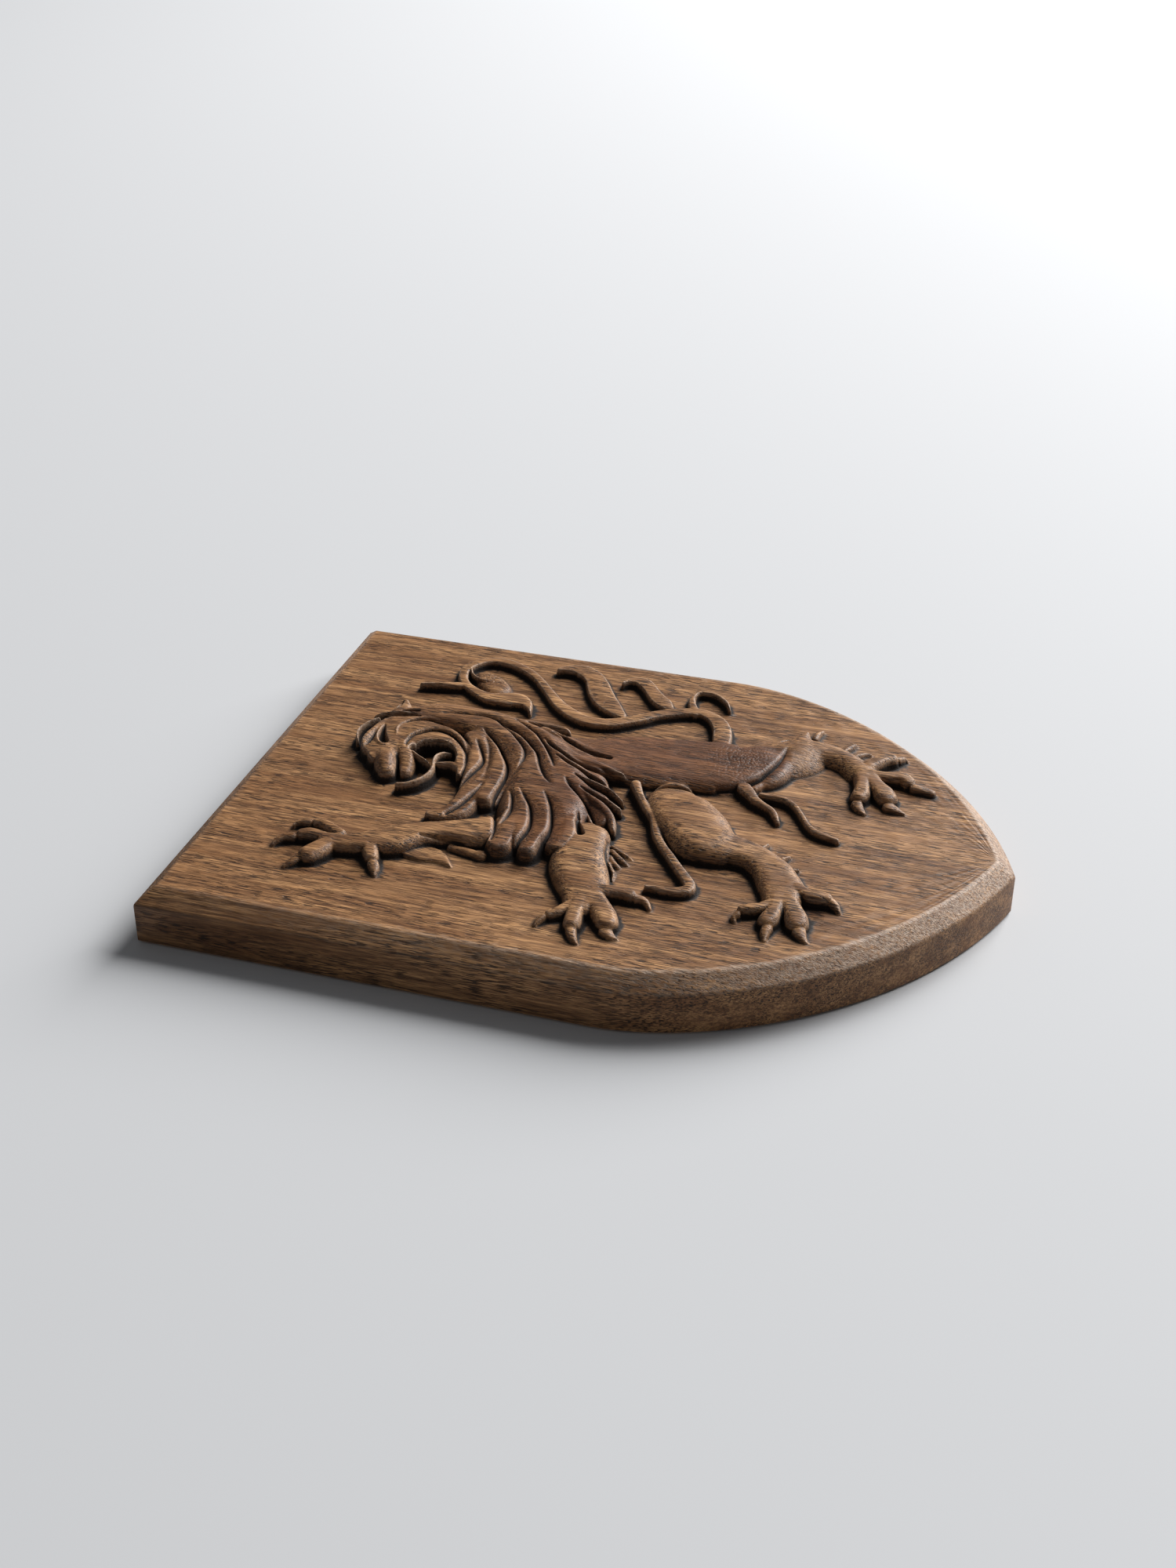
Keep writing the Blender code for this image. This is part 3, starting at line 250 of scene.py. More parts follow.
# The mane. Long locks sweep from the nape and the throat over the chest and end in blunt or pointed tips.
# Each parting has a rounded rim above it, and the next lock climbs out of the crevice.
MANE = {
    "nape": [
        (26, 46, 6, 6.2), (30, 56, 7.5, 6.8), (30, 68, 8.5, 7), (27, 80, 10.5, 7), (20, 92, 13, 7),
        (10, 100, 15, 6.8),
    ],
    "chest": [
        (16, 98, 13, 6.8), (4, 105, 16, 6.8), (-10, 110, 17, 6.7), (-24, 112, 15.5, 6.5),
        (-33, 112.5, 11.5, 6.4), (-38, 112, 7, 6.2),
    ],
    "fringe": [
        (24, 106, 6, 5.2), (13, 115.5, 7, 5), (1, 122, 7, 4.8), (-10, 127.5, 5.5, 4.5),
        (-19, 131, 4, 4.2),
    ],
    "neck": [(20, 84, 7, 6.5), (8, 89, 7, 6.4), (-6, 91, 6, 6), (-17, 90, 5.5, 5.6)],
    "beard": [
        (18, 74, 5, 6.2), (8, 79, 5, 6.2), (-5, 82.5, 5, 5.8), (-18, 84.5, 5.2, 5.2),
        (-27, 83.5, 5, 4.6), (-31.5, 78.5, 3, 4), (-32.2, 75.6, 1.8, 3.8),
    ],
}
CHEST_ENDS = [
    [(-28, 104.4, 4.8, 6.4), (-36, 104.2, 4.8, 6.2), (-44.2, 104.6, 4.6, 5.8)],
    [(-30, 114.2, 3.9, 6.4), (-38, 114.2, 3.9, 6.2), (-44.4, 114.2, 3.6, 5.7)],
    [(-26, 122.8, 4.8, 6.2), (-34, 123, 4.8, 6), (-38.6, 122.8, 4.6, 5.6)],
]
LOCK_TIPS = [
    [
        (-4, 119.4, 2, 6.2), (-9.6, 126.4, 2.2, 5.8), (-13, 130.6, 2.2, 5.4), (-17, 134.2, 2.1, 5),
        (-21, 136.4, 1.7, 4.6), (-24.2, 137.6, 1.1, 4),
    ],
    [
        (0.4, 115.6, 2, 6.4), (-4.6, 122.4, 2.1, 6), (-7.6, 127.6, 2, 5.6), (-9.8, 132.2, 1.7, 4.9),
        (-11.6, 136.4, 0.8, 4),
    ],
    [
        (4.4, 109, 1.6, 6.6), (1.6, 117.4, 1.5, 6.2), (0.6, 122, 1.3, 5.8), (-0.7, 126.6, 1.1, 5.3),
        (-2.6, 131, 0.9, 4.8), (-5.2, 135.6, 0.4, 4.2),
    ],
    [
        (15, 102.6, 1.6, 6.5), (10.6, 109.4, 1.5, 6.3), (8.6, 113.8, 1.3, 6), (6.9, 117.8, 1.1, 5.6),
        (4.6, 123.4, 0.4, 4.9),
    ],
    [
        (24.4, 99, 2.6, 6.4), (17.8, 107.2, 2.9, 6.3), (14.6, 113, 2.9, 6.1), (13, 118.6, 2.5, 5.8),
        (12, 124, 1.9, 5.4), (10.2, 129, 1.1, 5), (9.4, 132, 0.4, 4.7),
    ],
    [
        (30, 96, 2.2, 6.2), (26.2, 104.6, 2.2, 6), (24.4, 109.6, 1.9, 5.8), (22.6, 114.6, 1.5, 5.4),
        (21, 118.6, 1, 5.1), (19.5, 122.4, 0.4, 4.9),
    ],
    [
        (32, 84, 1.8, 6.4), (34.2, 93, 1.7, 5.4), (34.8, 99, 1.6, 4.8), (34.2, 103.2, 1.4, 4.4),
        (33, 104.6, 1, 4),
    ],
]
LOCK_CUTS = [
    [
        (-44, 101.5, 2.5, 1.2), (-38, 100.8, 3, 1.4), (-31, 98.5, 3.6, 1.8), (-24, 95.4, 4.5, 2.2),
        (-19.7, 93.9, 5, 2.4), (-15.6, 93.6, 5, 2.4), (-10.6, 93.6, 5, 2.4), (-5.5, 93.5, 5, 2.4),
        (-0.3, 92.5, 5, 2.4), (3.5, 90.9, 5, 2.4), (8.1, 88.1, 5, 2.4), (12.8, 85, 4.5, 2.2),
        (17.4, 81, 4, 1.8), (20.4, 78, 2.8, 1.2), (22.2, 75.9, 1.4, 0.4),
    ],
    [
        (-34, 101.6, 2.2, 0.8), (-30.5, 102.3, 3, 1.4), (-26.5, 102.4, 3.2, 1.6), (-21.9, 101.4, 3.2, 1.6),
        (-17.1, 99.8, 2.6, 1.2), (-12.9, 97.4, 1.4, 0.3),
    ],
    [
        (-50, 109.6, 4, 2.2), (-43.9, 110.2, 5, 2.4), (-39.8, 111.1, 5, 2.4), (-34.9, 111.5, 5, 2.4),
        (-30.2, 110.8, 5, 2.4), (-25.5, 109.3, 4.6, 2.2), (-21.1, 107.4, 4, 1.9), (-16.9, 104.4, 3, 1.2),
        (-12.7, 101.3, 1.6, 0.3),
    ],
    [
        (-48, 118, 4, 2.4), (-43, 118, 5, 2.4), (-39, 118.2, 5, 2.4), (-35, 118.6, 5, 2.4),
        (-31.1, 118.2, 5, 2.4), (-25.8, 116.7, 5, 2.3), (-20.5, 114.8, 4, 1.9), (-16.1, 112.5, 3, 1.3),
        (-12.7, 110, 1.6, 0.3),
    ],
    [
        (-24, 132.4, 3, 2.2), (-22.2, 130.8, 3.5, 2.4), (-18.8, 128.7, 4, 2.4), (-14.7, 126.1, 4, 2.4),
        (-11.6, 123.3, 4, 2.2), (-8.5, 120, 3.4, 1.9), (-5.1, 116.6, 2.6, 1.4), (-1.7, 114, 1.4, 0.4),
    ],
    [
        (4.6, 107.7, 1.6, 0.5), (9.3, 105.5, 2.8, 1.4), (13.3, 103.2, 3.2, 1.8), (16.9, 100.9, 3.4, 1.9),
        (20.4, 98.3, 3.4, 1.9), (24.3, 95.3, 3.2, 1.9), (27.2, 91.9, 2.8, 1.7), (29.7, 88.6, 2.4, 1.2),
        (31.7, 85, 1.4, 0.4),
    ],
    [
        (-6.3, 109.8, 1.6, 0.5), (-2.8, 107, 2.8, 1.2), (1, 104.6, 3.2, 1.5), (5.8, 102.1, 3.4, 1.7),
        (8.5, 101, 3.4, 1.8), (11.8, 99.4, 3.6, 2.2), (14.8, 97, 3.8, 2.4), (18.6, 93.8, 3.8, 2.5),
        (22.4, 90.1, 3.6, 2.4), (25.1, 86.2, 2.8, 1.8), (27, 82.4, 1.4, 0.5),
    ],
    [
        (-0.7, 95.9, 1.5, 0.3), (3.5, 96.2, 2.4, 0.9), (7.4, 96.1, 2.6, 1.2), (11.7, 94.8, 2.8, 1.4),
        (15.7, 92.3, 2.8, 1.5), (19.5, 89.1, 2.8, 1.5), (23, 85.9, 2.8, 1.5), (25.9, 82.5, 2.8, 1.5),
        (28.8, 79, 2.4, 1.5), (30, 75.6, 2, 1.4), (30.5, 72.5, 1.8, 1.3), (30.1, 68.6, 1.8, 1.2),
        (29.6, 63.8, 1.8, 1), (28.5, 58.6, 1.4, 0.4),
    ],
    [
        (-24.5, 76.6, 3.5, 1.8), (-20.9, 77.7, 4, 2), (-17, 78.6, 4, 2), (-13.4, 79.7, 4, 2),
        (-9.3, 80.8, 4, 2), (-4.6, 81.9, 4, 2), (-0.7, 82.7, 4, 2), (3.1, 82.5, 4, 1.9),
        (7.2, 80.6, 3.4, 1.7), (11.3, 78.2, 2.6, 1.2), (14.5, 76.1, 1.4, 0.4),
    ],
    [
        (-31.3, 81.2, 2.6, 1.4), (-29.5, 82.4, 3, 1.5), (-26.2, 84, 3.4, 1.6), (-22.7, 85.1, 3.4, 1.6),
        (-18.8, 86.1, 3, 1.4), (-15.8, 86.9, 2.4, 1), (-12.3, 87.5, 1.4, 0.4),
    ],
]
WEDGE_CUTS = [
    [
        (-32, 128.8, 1.3, 3.2), (-29.4, 127.4, 1.2, 3), (-26.4, 126, 1, 2.6), (-23.2, 125.3, 0.8, 1.8),
        (-19.4, 123.9, 0.4, 0.5),
    ],
    [
        (-14.4, 138, 1.2, 2.8), (-13, 135.2, 1.2, 2.8), (-10.4, 130.8, 1.1, 2.6), (-8.8, 127.5, 1, 2.3),
        (-7, 124.2, 0.8, 1.8), (-4.9, 120.3, 0.4, 0.5),
    ],
    [
        (-6.6, 135.2, 1.8, 3), (-4.6, 131.4, 1.8, 3.4), (-3.1, 127.5, 1.6, 3.4), (-1.3, 123.1, 1.3, 3),
        (0.4, 119.5, 0.9, 2.2), (2, 116.3, 0.5, 0.8),
    ],
    [
        (1.6, 127, 1, 1.8), (3, 123.4, 1.2, 2.4), (4.6, 120.2, 1.2, 2.6), (6.2, 117, 1, 2.6),
        (7.6, 113.5, 0.9, 2.3), (9.6, 110.1, 0.7, 1.7), (12, 106.3, 0.4, 0.5),
    ],
    [
        (7.4, 130, 1.2, 1.8), (8.2, 124, 1.5, 2.4), (9.4, 118.6, 1.3, 2.6), (10.9, 113.2, 1.1, 2.5),
        (13.2, 109.2, 0.9, 2.3), (16, 105.2, 0.8, 1.9), (19.2, 101.6, 0.6, 1.3), (22.2, 98.9, 0.4, 0.4),
    ],
    [
        (18, 124, 1.2, 1.6), (18.6, 119.6, 1.4, 2.2), (19.8, 115.2, 1.2, 2.4), (21.6, 111.4, 1, 2.3),
        (24, 107.4, 0.9, 2), (27, 103.5, 0.7, 1.4), (28.7, 99.8, 0.4, 0.4),
    ],
    [(31.8, 104, 1.4, 2.6), (31.6, 99, 1.3, 2.6), (31.8, 94, 1, 2.2), (32.6, 89.5, 0.5, 0.8)],
]
before_mane = work.rise.copy()
for path in MANE.values():
    work.swell(path, blend=1.2, square=5.0, fullness=1.6)
for path in CHEST_ENDS:
    work.strip(path, wall=2.6, dome=0.08)
for path in LOCK_TIPS:
    work.swell(path, blend=0.5, square=3.0, fullness=1.8)
stained |= work.rise > before_mane + 0.2
for path in LOCK_CUTS:
    work.part(path)
for path in WEDGE_CUTS:
    work.hollow(path, power=0.7)


# The head. A blunt muzzle over an open mouth, with a fang and a long curling tongue between the jaws.
# The brow, the eye, the ear and the cheek's folds are cut last.
FACE = [
    (-1.5, 46.7, 5.6, 5.5), (3.5, 45.2, 8.6, 6.1), (9, 45.4, 8.8, 6.3), (15, 48.2, 10.4, 6.6),
    (19, 52, 9, 6.7),
]
CHEEK = [
    (12, 56, 7, 6.5), (15.6, 60, 7.6, 6.5), (13.5, 65.5, 7.2, 6.4), (8.5, 70.5, 5, 6.1), (2.5, 74, 3, 5.8),
    (-3, 76.2, 1.9, 5.3), (-7, 77, 1.1, 4.8),
]
EAR = [(27, 41.6, 3.8, 5.8), (30, 41.6, 4, 5.3), (33.6, 41, 3.6, 4.9), (36.8, 40.4, 1.8, 4.4)]
UPPER_LIP = [(-7.4, 57.2, 3, 3.5), (-3.8, 56.6, 3.4, 4.8), (1, 54.6, 4.4, 5.9), (6, 53, 5, 6.3)]
MUZZLE = [(-1, 47.6, 4.6, 6), (-4.5, 48.9, 4.5, 6.9), (-8, 50.4, 4.2, 6.6), (-10.4, 51.6, 3.4, 5.6)]
MOUTH = [
    (3.6, 56.8, 1.8, 9), (4.9, 60.8, 4.2, 10), (4.2, 65, 5.6, 10), (0.6, 69.3, 4, 10),
    (-2.2, 70.6, 1.4, 4),
]
LIP_NOTCH = [(-11.5, 55.9, 1, 5), (-8.8, 55.1, 0.8, 4), (-6.6, 54.2, 0.5, 2), (-5, 53.4, 0.3, 0.6)]
CHEEK_CUTS = [
    [
        (3, 53.6, 0.6, 0.2), (6, 52.7, 1.3, 0.8), (10, 53, 1.9, 1.2), (13.6, 55.3, 2.4, 1.8),
        (16.4, 58.4, 2.6, 2.2), (17, 62.2, 2.6, 2.2), (15.4, 66.6, 2.4, 2), (11.4, 71, 2, 1.5),
        (5.6, 75.2, 1.4, 1), (0, 77.4, 0.8, 0.4),
    ],
    [
        (17, 46.6, 0.8, 0.3), (20.6, 49.4, 1.8, 1.4), (23, 53, 2.6, 2.4), (23.6, 58, 3, 2.7),
        (22.2, 63.8, 3, 2.5), (19, 68.4, 2.4, 1.9), (14.2, 72.6, 1.6, 1), (8.6, 76.2, 0.8, 0.3),
    ],
]
LOWER_JAW = [(-2.6, 66.8, 0.6, 4.8), (-1.8, 69.6, 1, 5), (-1.4, 72.6, 1.3, 5.2), (-3, 75.6, 1.6, 5.3)]
TONGUE = [
    (-18.5, 58.6, 0.9, 4.2), (-17.6, 61.4, 0.9, 4.3), (-14.6, 64.8, 0.9, 4.7), (-10.2, 66.8, 0.9, 5),
    (-5.6, 66.8, 0.9, 5.2), (-1, 65.6, 0.8, 5.2), (2.4, 65.4, 0.8, 5), (5.2, 67, 0.8, 4.6),
    (6.6, 69.4, 0.7, 3.6),
]
FANG = [(1.2, 57, 0.9, 5.8), (-0.7, 59.7, 0.8, 5.6), (-2, 62.4, 0.6, 5.4), (-2.9, 64.8, 0.3, 5.2)]
BROW = [(19, 39.4, 1.4, 0.3), (13, 38.4, 1.9, 0.7), (7.4, 37.4, 2, 0.9), (3.4, 36.9, 1.8, 0.8)]
BROW_CUT = [(1.2, 39.4, 0.9, 1), (4.5, 39.9, 1, 1.2), (8.6, 39.9, 0.7, 0.6)]
EYELID = [
    (13.6, 40.2, 0.6, 0.2), (8, 41, 0.9, 0.5), (4, 42.4, 0.9, 0.6), (1.9, 44.8, 0.9, 0.6),
    (2.6, 47, 0.7, 0.3),
]
CHEEK_MARK = [
    (9, 47.7, 0.3, 0.2), (11.4, 46.8, 0.6, 0.5), (13.8, 46.2, 0.6, 0.5), (16.2, 46.6, 0.5, 0.4),
    (17.4, 48.2, 0.3, 0.2),
]
EYE = [(15.2, 41, 0.3, 0.6), (11.4, 41.8, 0.9, 2), (7.4, 43, 1.5, 3.2), (4.4, 45, 1.5, 3.2)]
FORELOCK = [
    (5.2, 34.4, 0.6, 4.8), (9.2, 32.6, 0.6, 5.2), (12.6, 32.5, 0.6, 5.4), (16.4, 34.2, 0.7, 5.8),
    (19.6, 37, 0.8, 6.2),
]
EAR_RIDGE = [
    (21.4, 34.2, 0.4, 5.4), (23.4, 37, 0.7, 6), (25.3, 41.4, 0.8, 6.4), (25.9, 46, 0.8, 6.6),
    (26.2, 50.5, 0.7, 6.8),
]
FORELOCK_CUT = [(6.4, 35.3, 0.6, 2.6), (10.6, 34.6, 1.5, 4.2), (15, 35.9, 1.5, 4.2), (18.4, 38, 0.6, 2)]
EAR_CUTS = [
    [(27, 37.9, 0.5, 0.6), (30, 38.9, 1.2, 2.4), (33, 39.4, 1.2, 2.6), (36, 39.6, 0.7, 1.4)],
    [(19.8, 36.2, 0.7, 1.2), (22.8, 40, 1.4, 3.4), (24, 45.4, 1.5, 3.4), (24.4, 50.8, 0.6, 1.2)],
    [(26.6, 43.4, 0.6, 1.2), (27.2, 46.2, 1.2, 2.8), (27.8, 49.2, 0.7, 1.2)],
]
work.strip(FACE, wall=1.3, dome=0.12)
work.swell(CHEEK, blend=0.8, square=6.0, fullness=1.8)
work.swell(EAR, blend=0.5, square=4.0, fullness=1.6)
work.swell(UPPER_LIP, blend=0.8, square=3.0, fullness=1.8)
work.swell(MUZZLE, blend=0.6, square=2.6, fullness=2.0)
work.hollow(MOUTH, power=0.22, floor=-2.5)
work.hollow(LIP_NOTCH, power=0.5)
for path in CHEEK_CUTS:
    work.part(path, rim=1.2)
work.strip(LOWER_JAW, wall=0.5, dome=0.2)
work.strip(TONGUE, wall=0.5)
work.strip(FANG, wall=0.5, dome=0.3)
work.ridge(BROW)
work.hollow(BROW_CUT)
work.ridge(EYELID)
work.ridge(CHEEK_MARK)
work.hollow(EYE, power=0.5)
work.strip(FORELOCK, wall=0.5, dome=0.3)
work.strip(EAR_RIDGE, wall=0.5, dome=0.3)
work.hollow(FORELOCK_CUT, power=0.6)
for path in EAR_CUTS:
    work.hollow(path, power=0.6)


# The rump's edge and the paws. Each toe is a round knuckle with a hooked claw stepping down from it.
RUMP_CUT = [
    (13, 164, 3, 1.4), (15.5, 170.8, 4, 2.2), (20.5, 175.9, 5, 2.4), (25.2, 178.4, 5, 2.2),
    (30.6, 180.4, 4.4, 1.8), (36.6, 181.5, 3.6, 1.2), (42.9, 182.1, 2.2, 0.5),
]
HAUNCH_MARK = [(48.8, 178.4, 0.4, 0.3), (51.6, 180.2, 0.9, 1.6), (54.2, 181.8, 0.3, 0.3)]
TOES = [
    (
        [(-58.6, 50.4, 3.8, 4.4), (-62.8, 48.4, 4.2, 4.4), (-65.6, 46.6, 4.2, 4.2)],
        [(-68, 43.8, 1.9, 2.8), (-70.4, 42.2, 1.5, 2.2), (-72.6, 40.6, 0.7, 1.1)],
    ),
    (
        [(-57, 51, 2.6, 4.4), (-55.6, 46, 2.5, 4.4), (-55.1, 42, 2.6, 4.3), (-55.8, 39.8, 2.3, 4)],
        [
            (-57.2, 37.2, 1.7, 3.2), (-58.4, 34.2, 1.5, 2.9), (-60.4, 32.3, 1.2, 2.3),
            (-61.8, 31.8, 0.7, 1.5),
        ],
    ),
    (
        [(-52.6, 52, 2.4, 4.2), (-50.1, 48, 2.2, 4.1), (-48.2, 44.4, 2.1, 4), (-47.7, 41.8, 1.9, 3.8)],
        [(-47.8, 39.2, 1.4, 3.2), (-47.8, 36.6, 1.3, 3), (-48.8, 34.8, 1.1, 2.4), (-50, 34, 0.6, 1.8)],
    ),
    (
        [(-56.5, 63.8, 3.2, 4.4), (-60, 65.8, 2.9, 4.3), (-61.9, 66.8, 2.5, 4)],
        [(-64.4, 68.3, 2, 2.9), (-66.7, 69.6, 1.7, 2.4), (-69, 70.5, 0.7, 1.2)],
    ),
    (
        [(-66, 139, 3.4, 4.3), (-73, 139.3, 3, 4.3), (-76.6, 139.8, 3.1, 4.3), (-78, 140, 3, 4)],
        [
            (-80.2, 140.4, 1.9, 2.8), (-82.9, 141.5, 1.5, 2.3), (-84.6, 142.8, 1.1, 1.7),
            (-85.6, 143.8, 0.5, 0.9),
        ],
    ),
    (
        [
            (-63.5, 142.6, 4.4, 4.4), (-68, 146.2, 4.3, 4.4), (-71.6, 148.8, 4.3, 4.4),
            (-74.2, 150.2, 3.9, 4.2),
        ],
        [(-77.7, 150.8, 2.2, 2.4), (-79.1, 152.7, 1.6, 1.8), (-79.7, 154.8, 0.6, 0.8)],
    ),
    (
        [
            (-59.5, 143, 3.4, 4.4), (-58.2, 147.4, 2.6, 4.3), (-57.8, 150.8, 2.5, 4.2),
            (-58.4, 153.4, 2.3, 4),
        ],
        [
            (-58.8, 155.4, 1.6, 3.1), (-58.8, 157.6, 1.4, 2.8), (-60, 159.4, 1.1, 2.2),
            (-61.4, 160.4, 0.6, 1.4),
        ],
    ),
    (
        [(-70.6, 136.6, 2.8, 4), (-73.4, 134, 2.1, 3.6), (-75, 131.8, 1.8, 3.2)],
        [(-76.6, 130.2, 1.3, 2.6), (-78.4, 129.2, 1.1, 2.1), (-80.2, 128.6, 0.6, 1.1)],
    ),
    (
        [(-47, 198.4, 3.2, 4.3), (-53.8, 198.6, 3, 4.3), (-57.2, 198, 3.4, 4.3), (-58.6, 197.6, 3.3, 4.1)],
        [(-61.8, 198.2, 1.9, 2.7), (-64.4, 198.1, 1.5, 2.1), (-67, 198.6, 0.7, 0.9)],
    ),
    (
        [
            (-47, 201.6, 3.6, 4.3), (-52.4, 204.6, 3.8, 4.4), (-55.4, 206.1, 4.1, 4.4),
            (-57.2, 206.7, 3.9, 4.1),
        ],
        [(-60.8, 208.2, 2.3, 2.8), (-62.3, 209.2, 1.7, 2.1), (-64.2, 211, 0.7, 0.9)],
    ),
    (
        [
            (-39.8, 203.4, 2.8, 4.4), (-42.2, 207, 2.6, 4.3), (-42.4, 210.6, 2.6, 4.3),
            (-42.2, 213, 2.4, 4.1),
        ],
        [(-43, 215, 1.6, 3.2), (-44, 216.6, 1.3, 2.5), (-45.5, 217.7, 0.7, 1.3)],
    ),
    (
        [(-50, 197, 2.4, 4.2), (-53.2, 194, 2.2, 4), (-54.6, 190.6, 2.1, 3.9), (-55.4, 188.8, 1.9, 3.6)],
        [(-57.4, 187.8, 1.2, 2.8), (-58.8, 187, 1, 2.2), (-59.9, 187.5, 0.6, 1.2)],
    ),
    (
        [(35, 210.6, 3.6, 4.3), (28.5, 211.6, 3, 4.2), (24.8, 211.9, 3.4, 4.3), (22.6, 211.6, 3.2, 4.1)],
        [(18.6, 211.6, 2, 2.6), (16.7, 212.8, 1.7, 2.1), (14.6, 214.9, 0.8, 1)],
    ),
    (
        [(36, 212.6, 3.6, 4.2), (30.4, 216.4, 3.6, 4.3), (27, 219.2, 4.1, 4.4), (24.6, 220.8, 3.9, 4.2)],
        [(20.4, 222.2, 2.2, 2.5), (19.7, 224.6, 1.7, 1.9), (18.8, 227.6, 0.7, 0.9)],
    ),
    (
        [
            (37.6, 213.4, 2.8, 4.2), (37.4, 217, 2.6, 4.2), (38.2, 221, 2.8, 4.3), (38.4, 224.2, 3.1, 4.2),
            (37, 226.2, 2.8, 3.9),
        ],
        [(35, 228.8, 2, 2.9), (34.6, 232, 1.8, 2.5), (34, 234.8, 1.5, 2)],
    ),
    (
        [(43.5, 211.5, 3.4, 4.2), (48.2, 215, 3.1, 4.2), (50.4, 217.8, 2.9, 4)],
        [(52, 220.2, 1.6, 2.8), (53.8, 221.9, 1.2, 2.2), (54, 223, 0.6, 1.2)],
    ),
]
work.part(RUMP_CUT)
work.hollow(HAUNCH_MARK)
for toe, claw in TOES:
    work.swell(toe, blend=0.4, square=3.6, fullness=2.2)
    work.strip(claw, wall=0.5, dome=0.25)


# The tail. A flat ribbon rises behind the back, loops over itself and throws off flames and a ring.
TAIL = [
    (43, 158.4, 3.4, 4.2), (47.3, 157.5, 3.6, 4.2), (52.6, 156.2, 3.5, 3.7), (57.6, 153.8, 3.2, 3.3),
    (61.3, 150.6, 2.8, 3.1), (63.4, 146.3, 2.4, 3), (62.9, 141.6, 2.3, 3), (60.4, 135.6, 2.5, 3),
    (56.8, 129.8, 2.5, 3), (53.3, 126, 2.7, 3), (49.7, 121.4, 2.6, 3), (47, 117, 2.8, 3),
    (45.7, 112, 2.7, 3), (46, 106.5, 2.7, 3), (48.4, 101.4, 2.8, 3), (52.9, 95.5, 2.6, 3),
    (57.2, 91.5, 2.3, 3), (62.9, 87, 2, 3), (67.3, 83.5, 1.9, 3), (71, 80.3, 1.8, 3), (74.5, 76.4, 1.9, 3),
    (77.2, 72.2, 2, 3), (79.4, 67.5, 2.1, 3), (80.2, 62.5, 2.1, 3), (79, 58, 2, 3), (76.4, 54.9, 2.1, 3),
    (73, 52.8, 2.1, 3), (69.4, 51.9, 2.1, 3), (65.3, 52.6, 2, 3), (62, 53.9, 1.9, 3), (58.4, 56.4, 1.9, 3),
    (56, 59.3, 1.9, 3), (53.6, 63, 2.2, 3), (51.9, 67, 2.9, 3), (51.9, 71, 3.6, 3), (52.7, 74.8, 4.3, 3),
    (53, 78.4, 4.2, 3), (51.3, 82, 2.7, 3), (48.4, 84.3, 1.3, 3), (45.3, 85.7, 0.4, 2.6),
]
TAIL_FLAMES = [
    [
        (52.8, 118.4, 2, 3), (57.4, 113.6, 3.8, 3), (61.5, 109.9, 4.6, 3), (66.5, 106.6, 4.8, 3),
        (71.7, 104, 4.6, 3), (76.7, 101.3, 4.1, 3), (80.2, 98.1, 4, 3), (81.9, 94.8, 3.9, 3.1),
        (82, 91.8, 3, 3.2), (81, 88.8, 2, 3.3), (79.3, 86.2, 1, 3.4),
    ],
    [
        (62, 134.6, 1.6, 3), (66.2, 130.9, 3.2, 3), (69.5, 127.6, 3.2, 3), (73.6, 124.5, 2.9, 3),
        (77.5, 121.7, 3, 3), (80, 118.9, 3, 3), (80.1, 115.8, 2.1, 3.1), (78.6, 113.6, 1.2, 3.2),
        (76.4, 112.2, 0.6, 3.2),
    ],
]
TAIL_RING = [
    (62.6, 144, 2, 3), (67, 141.7, 1.7, 3), (70, 140.6, 1.5, 3), (73, 140, 1.3, 3), (76, 140.2, 1.1, 3),
    (77.9, 141.4, 1, 3), (78.7, 143.9, 1, 3), (78.2, 147.4, 1, 3), (75.9, 150.6, 0.9, 3),
    (72.7, 153.4, 0.8, 3), (69.6, 155, 0.5, 2.7),
]
TAIL_BAR = [(53.2, 40.3, 0.7, 3.3), (54.7, 46.6, 0.9, 3.7), (56.6, 53, 1.6, 3.4), (58, 56.6, 1.6, 3.2)]
TAIL_MOUND = [(61, 68, 5, 2.2), (65, 64, 5.4, 2.2), (68, 60, 4.4, 2.2)]
MOUND_RIM = [(64, 65, 0.5, 2.6), (64, 60, 0.7, 2.8), (66.6, 56, 0.7, 3), (70.4, 54, 0.6, 3)]
work.strip(TAIL, wall=0.5, dome=0.1)
for path in TAIL_FLAMES:
    work.strip(path, wall=0.5, dome=0.1)
for path in (TAIL_RING, TAIL_BAR):
    work.strip(path, wall=0.45)
work.swell(TAIL_MOUND, blend=0.5)
work.strip(MOUND_RIM, wall=0.45)


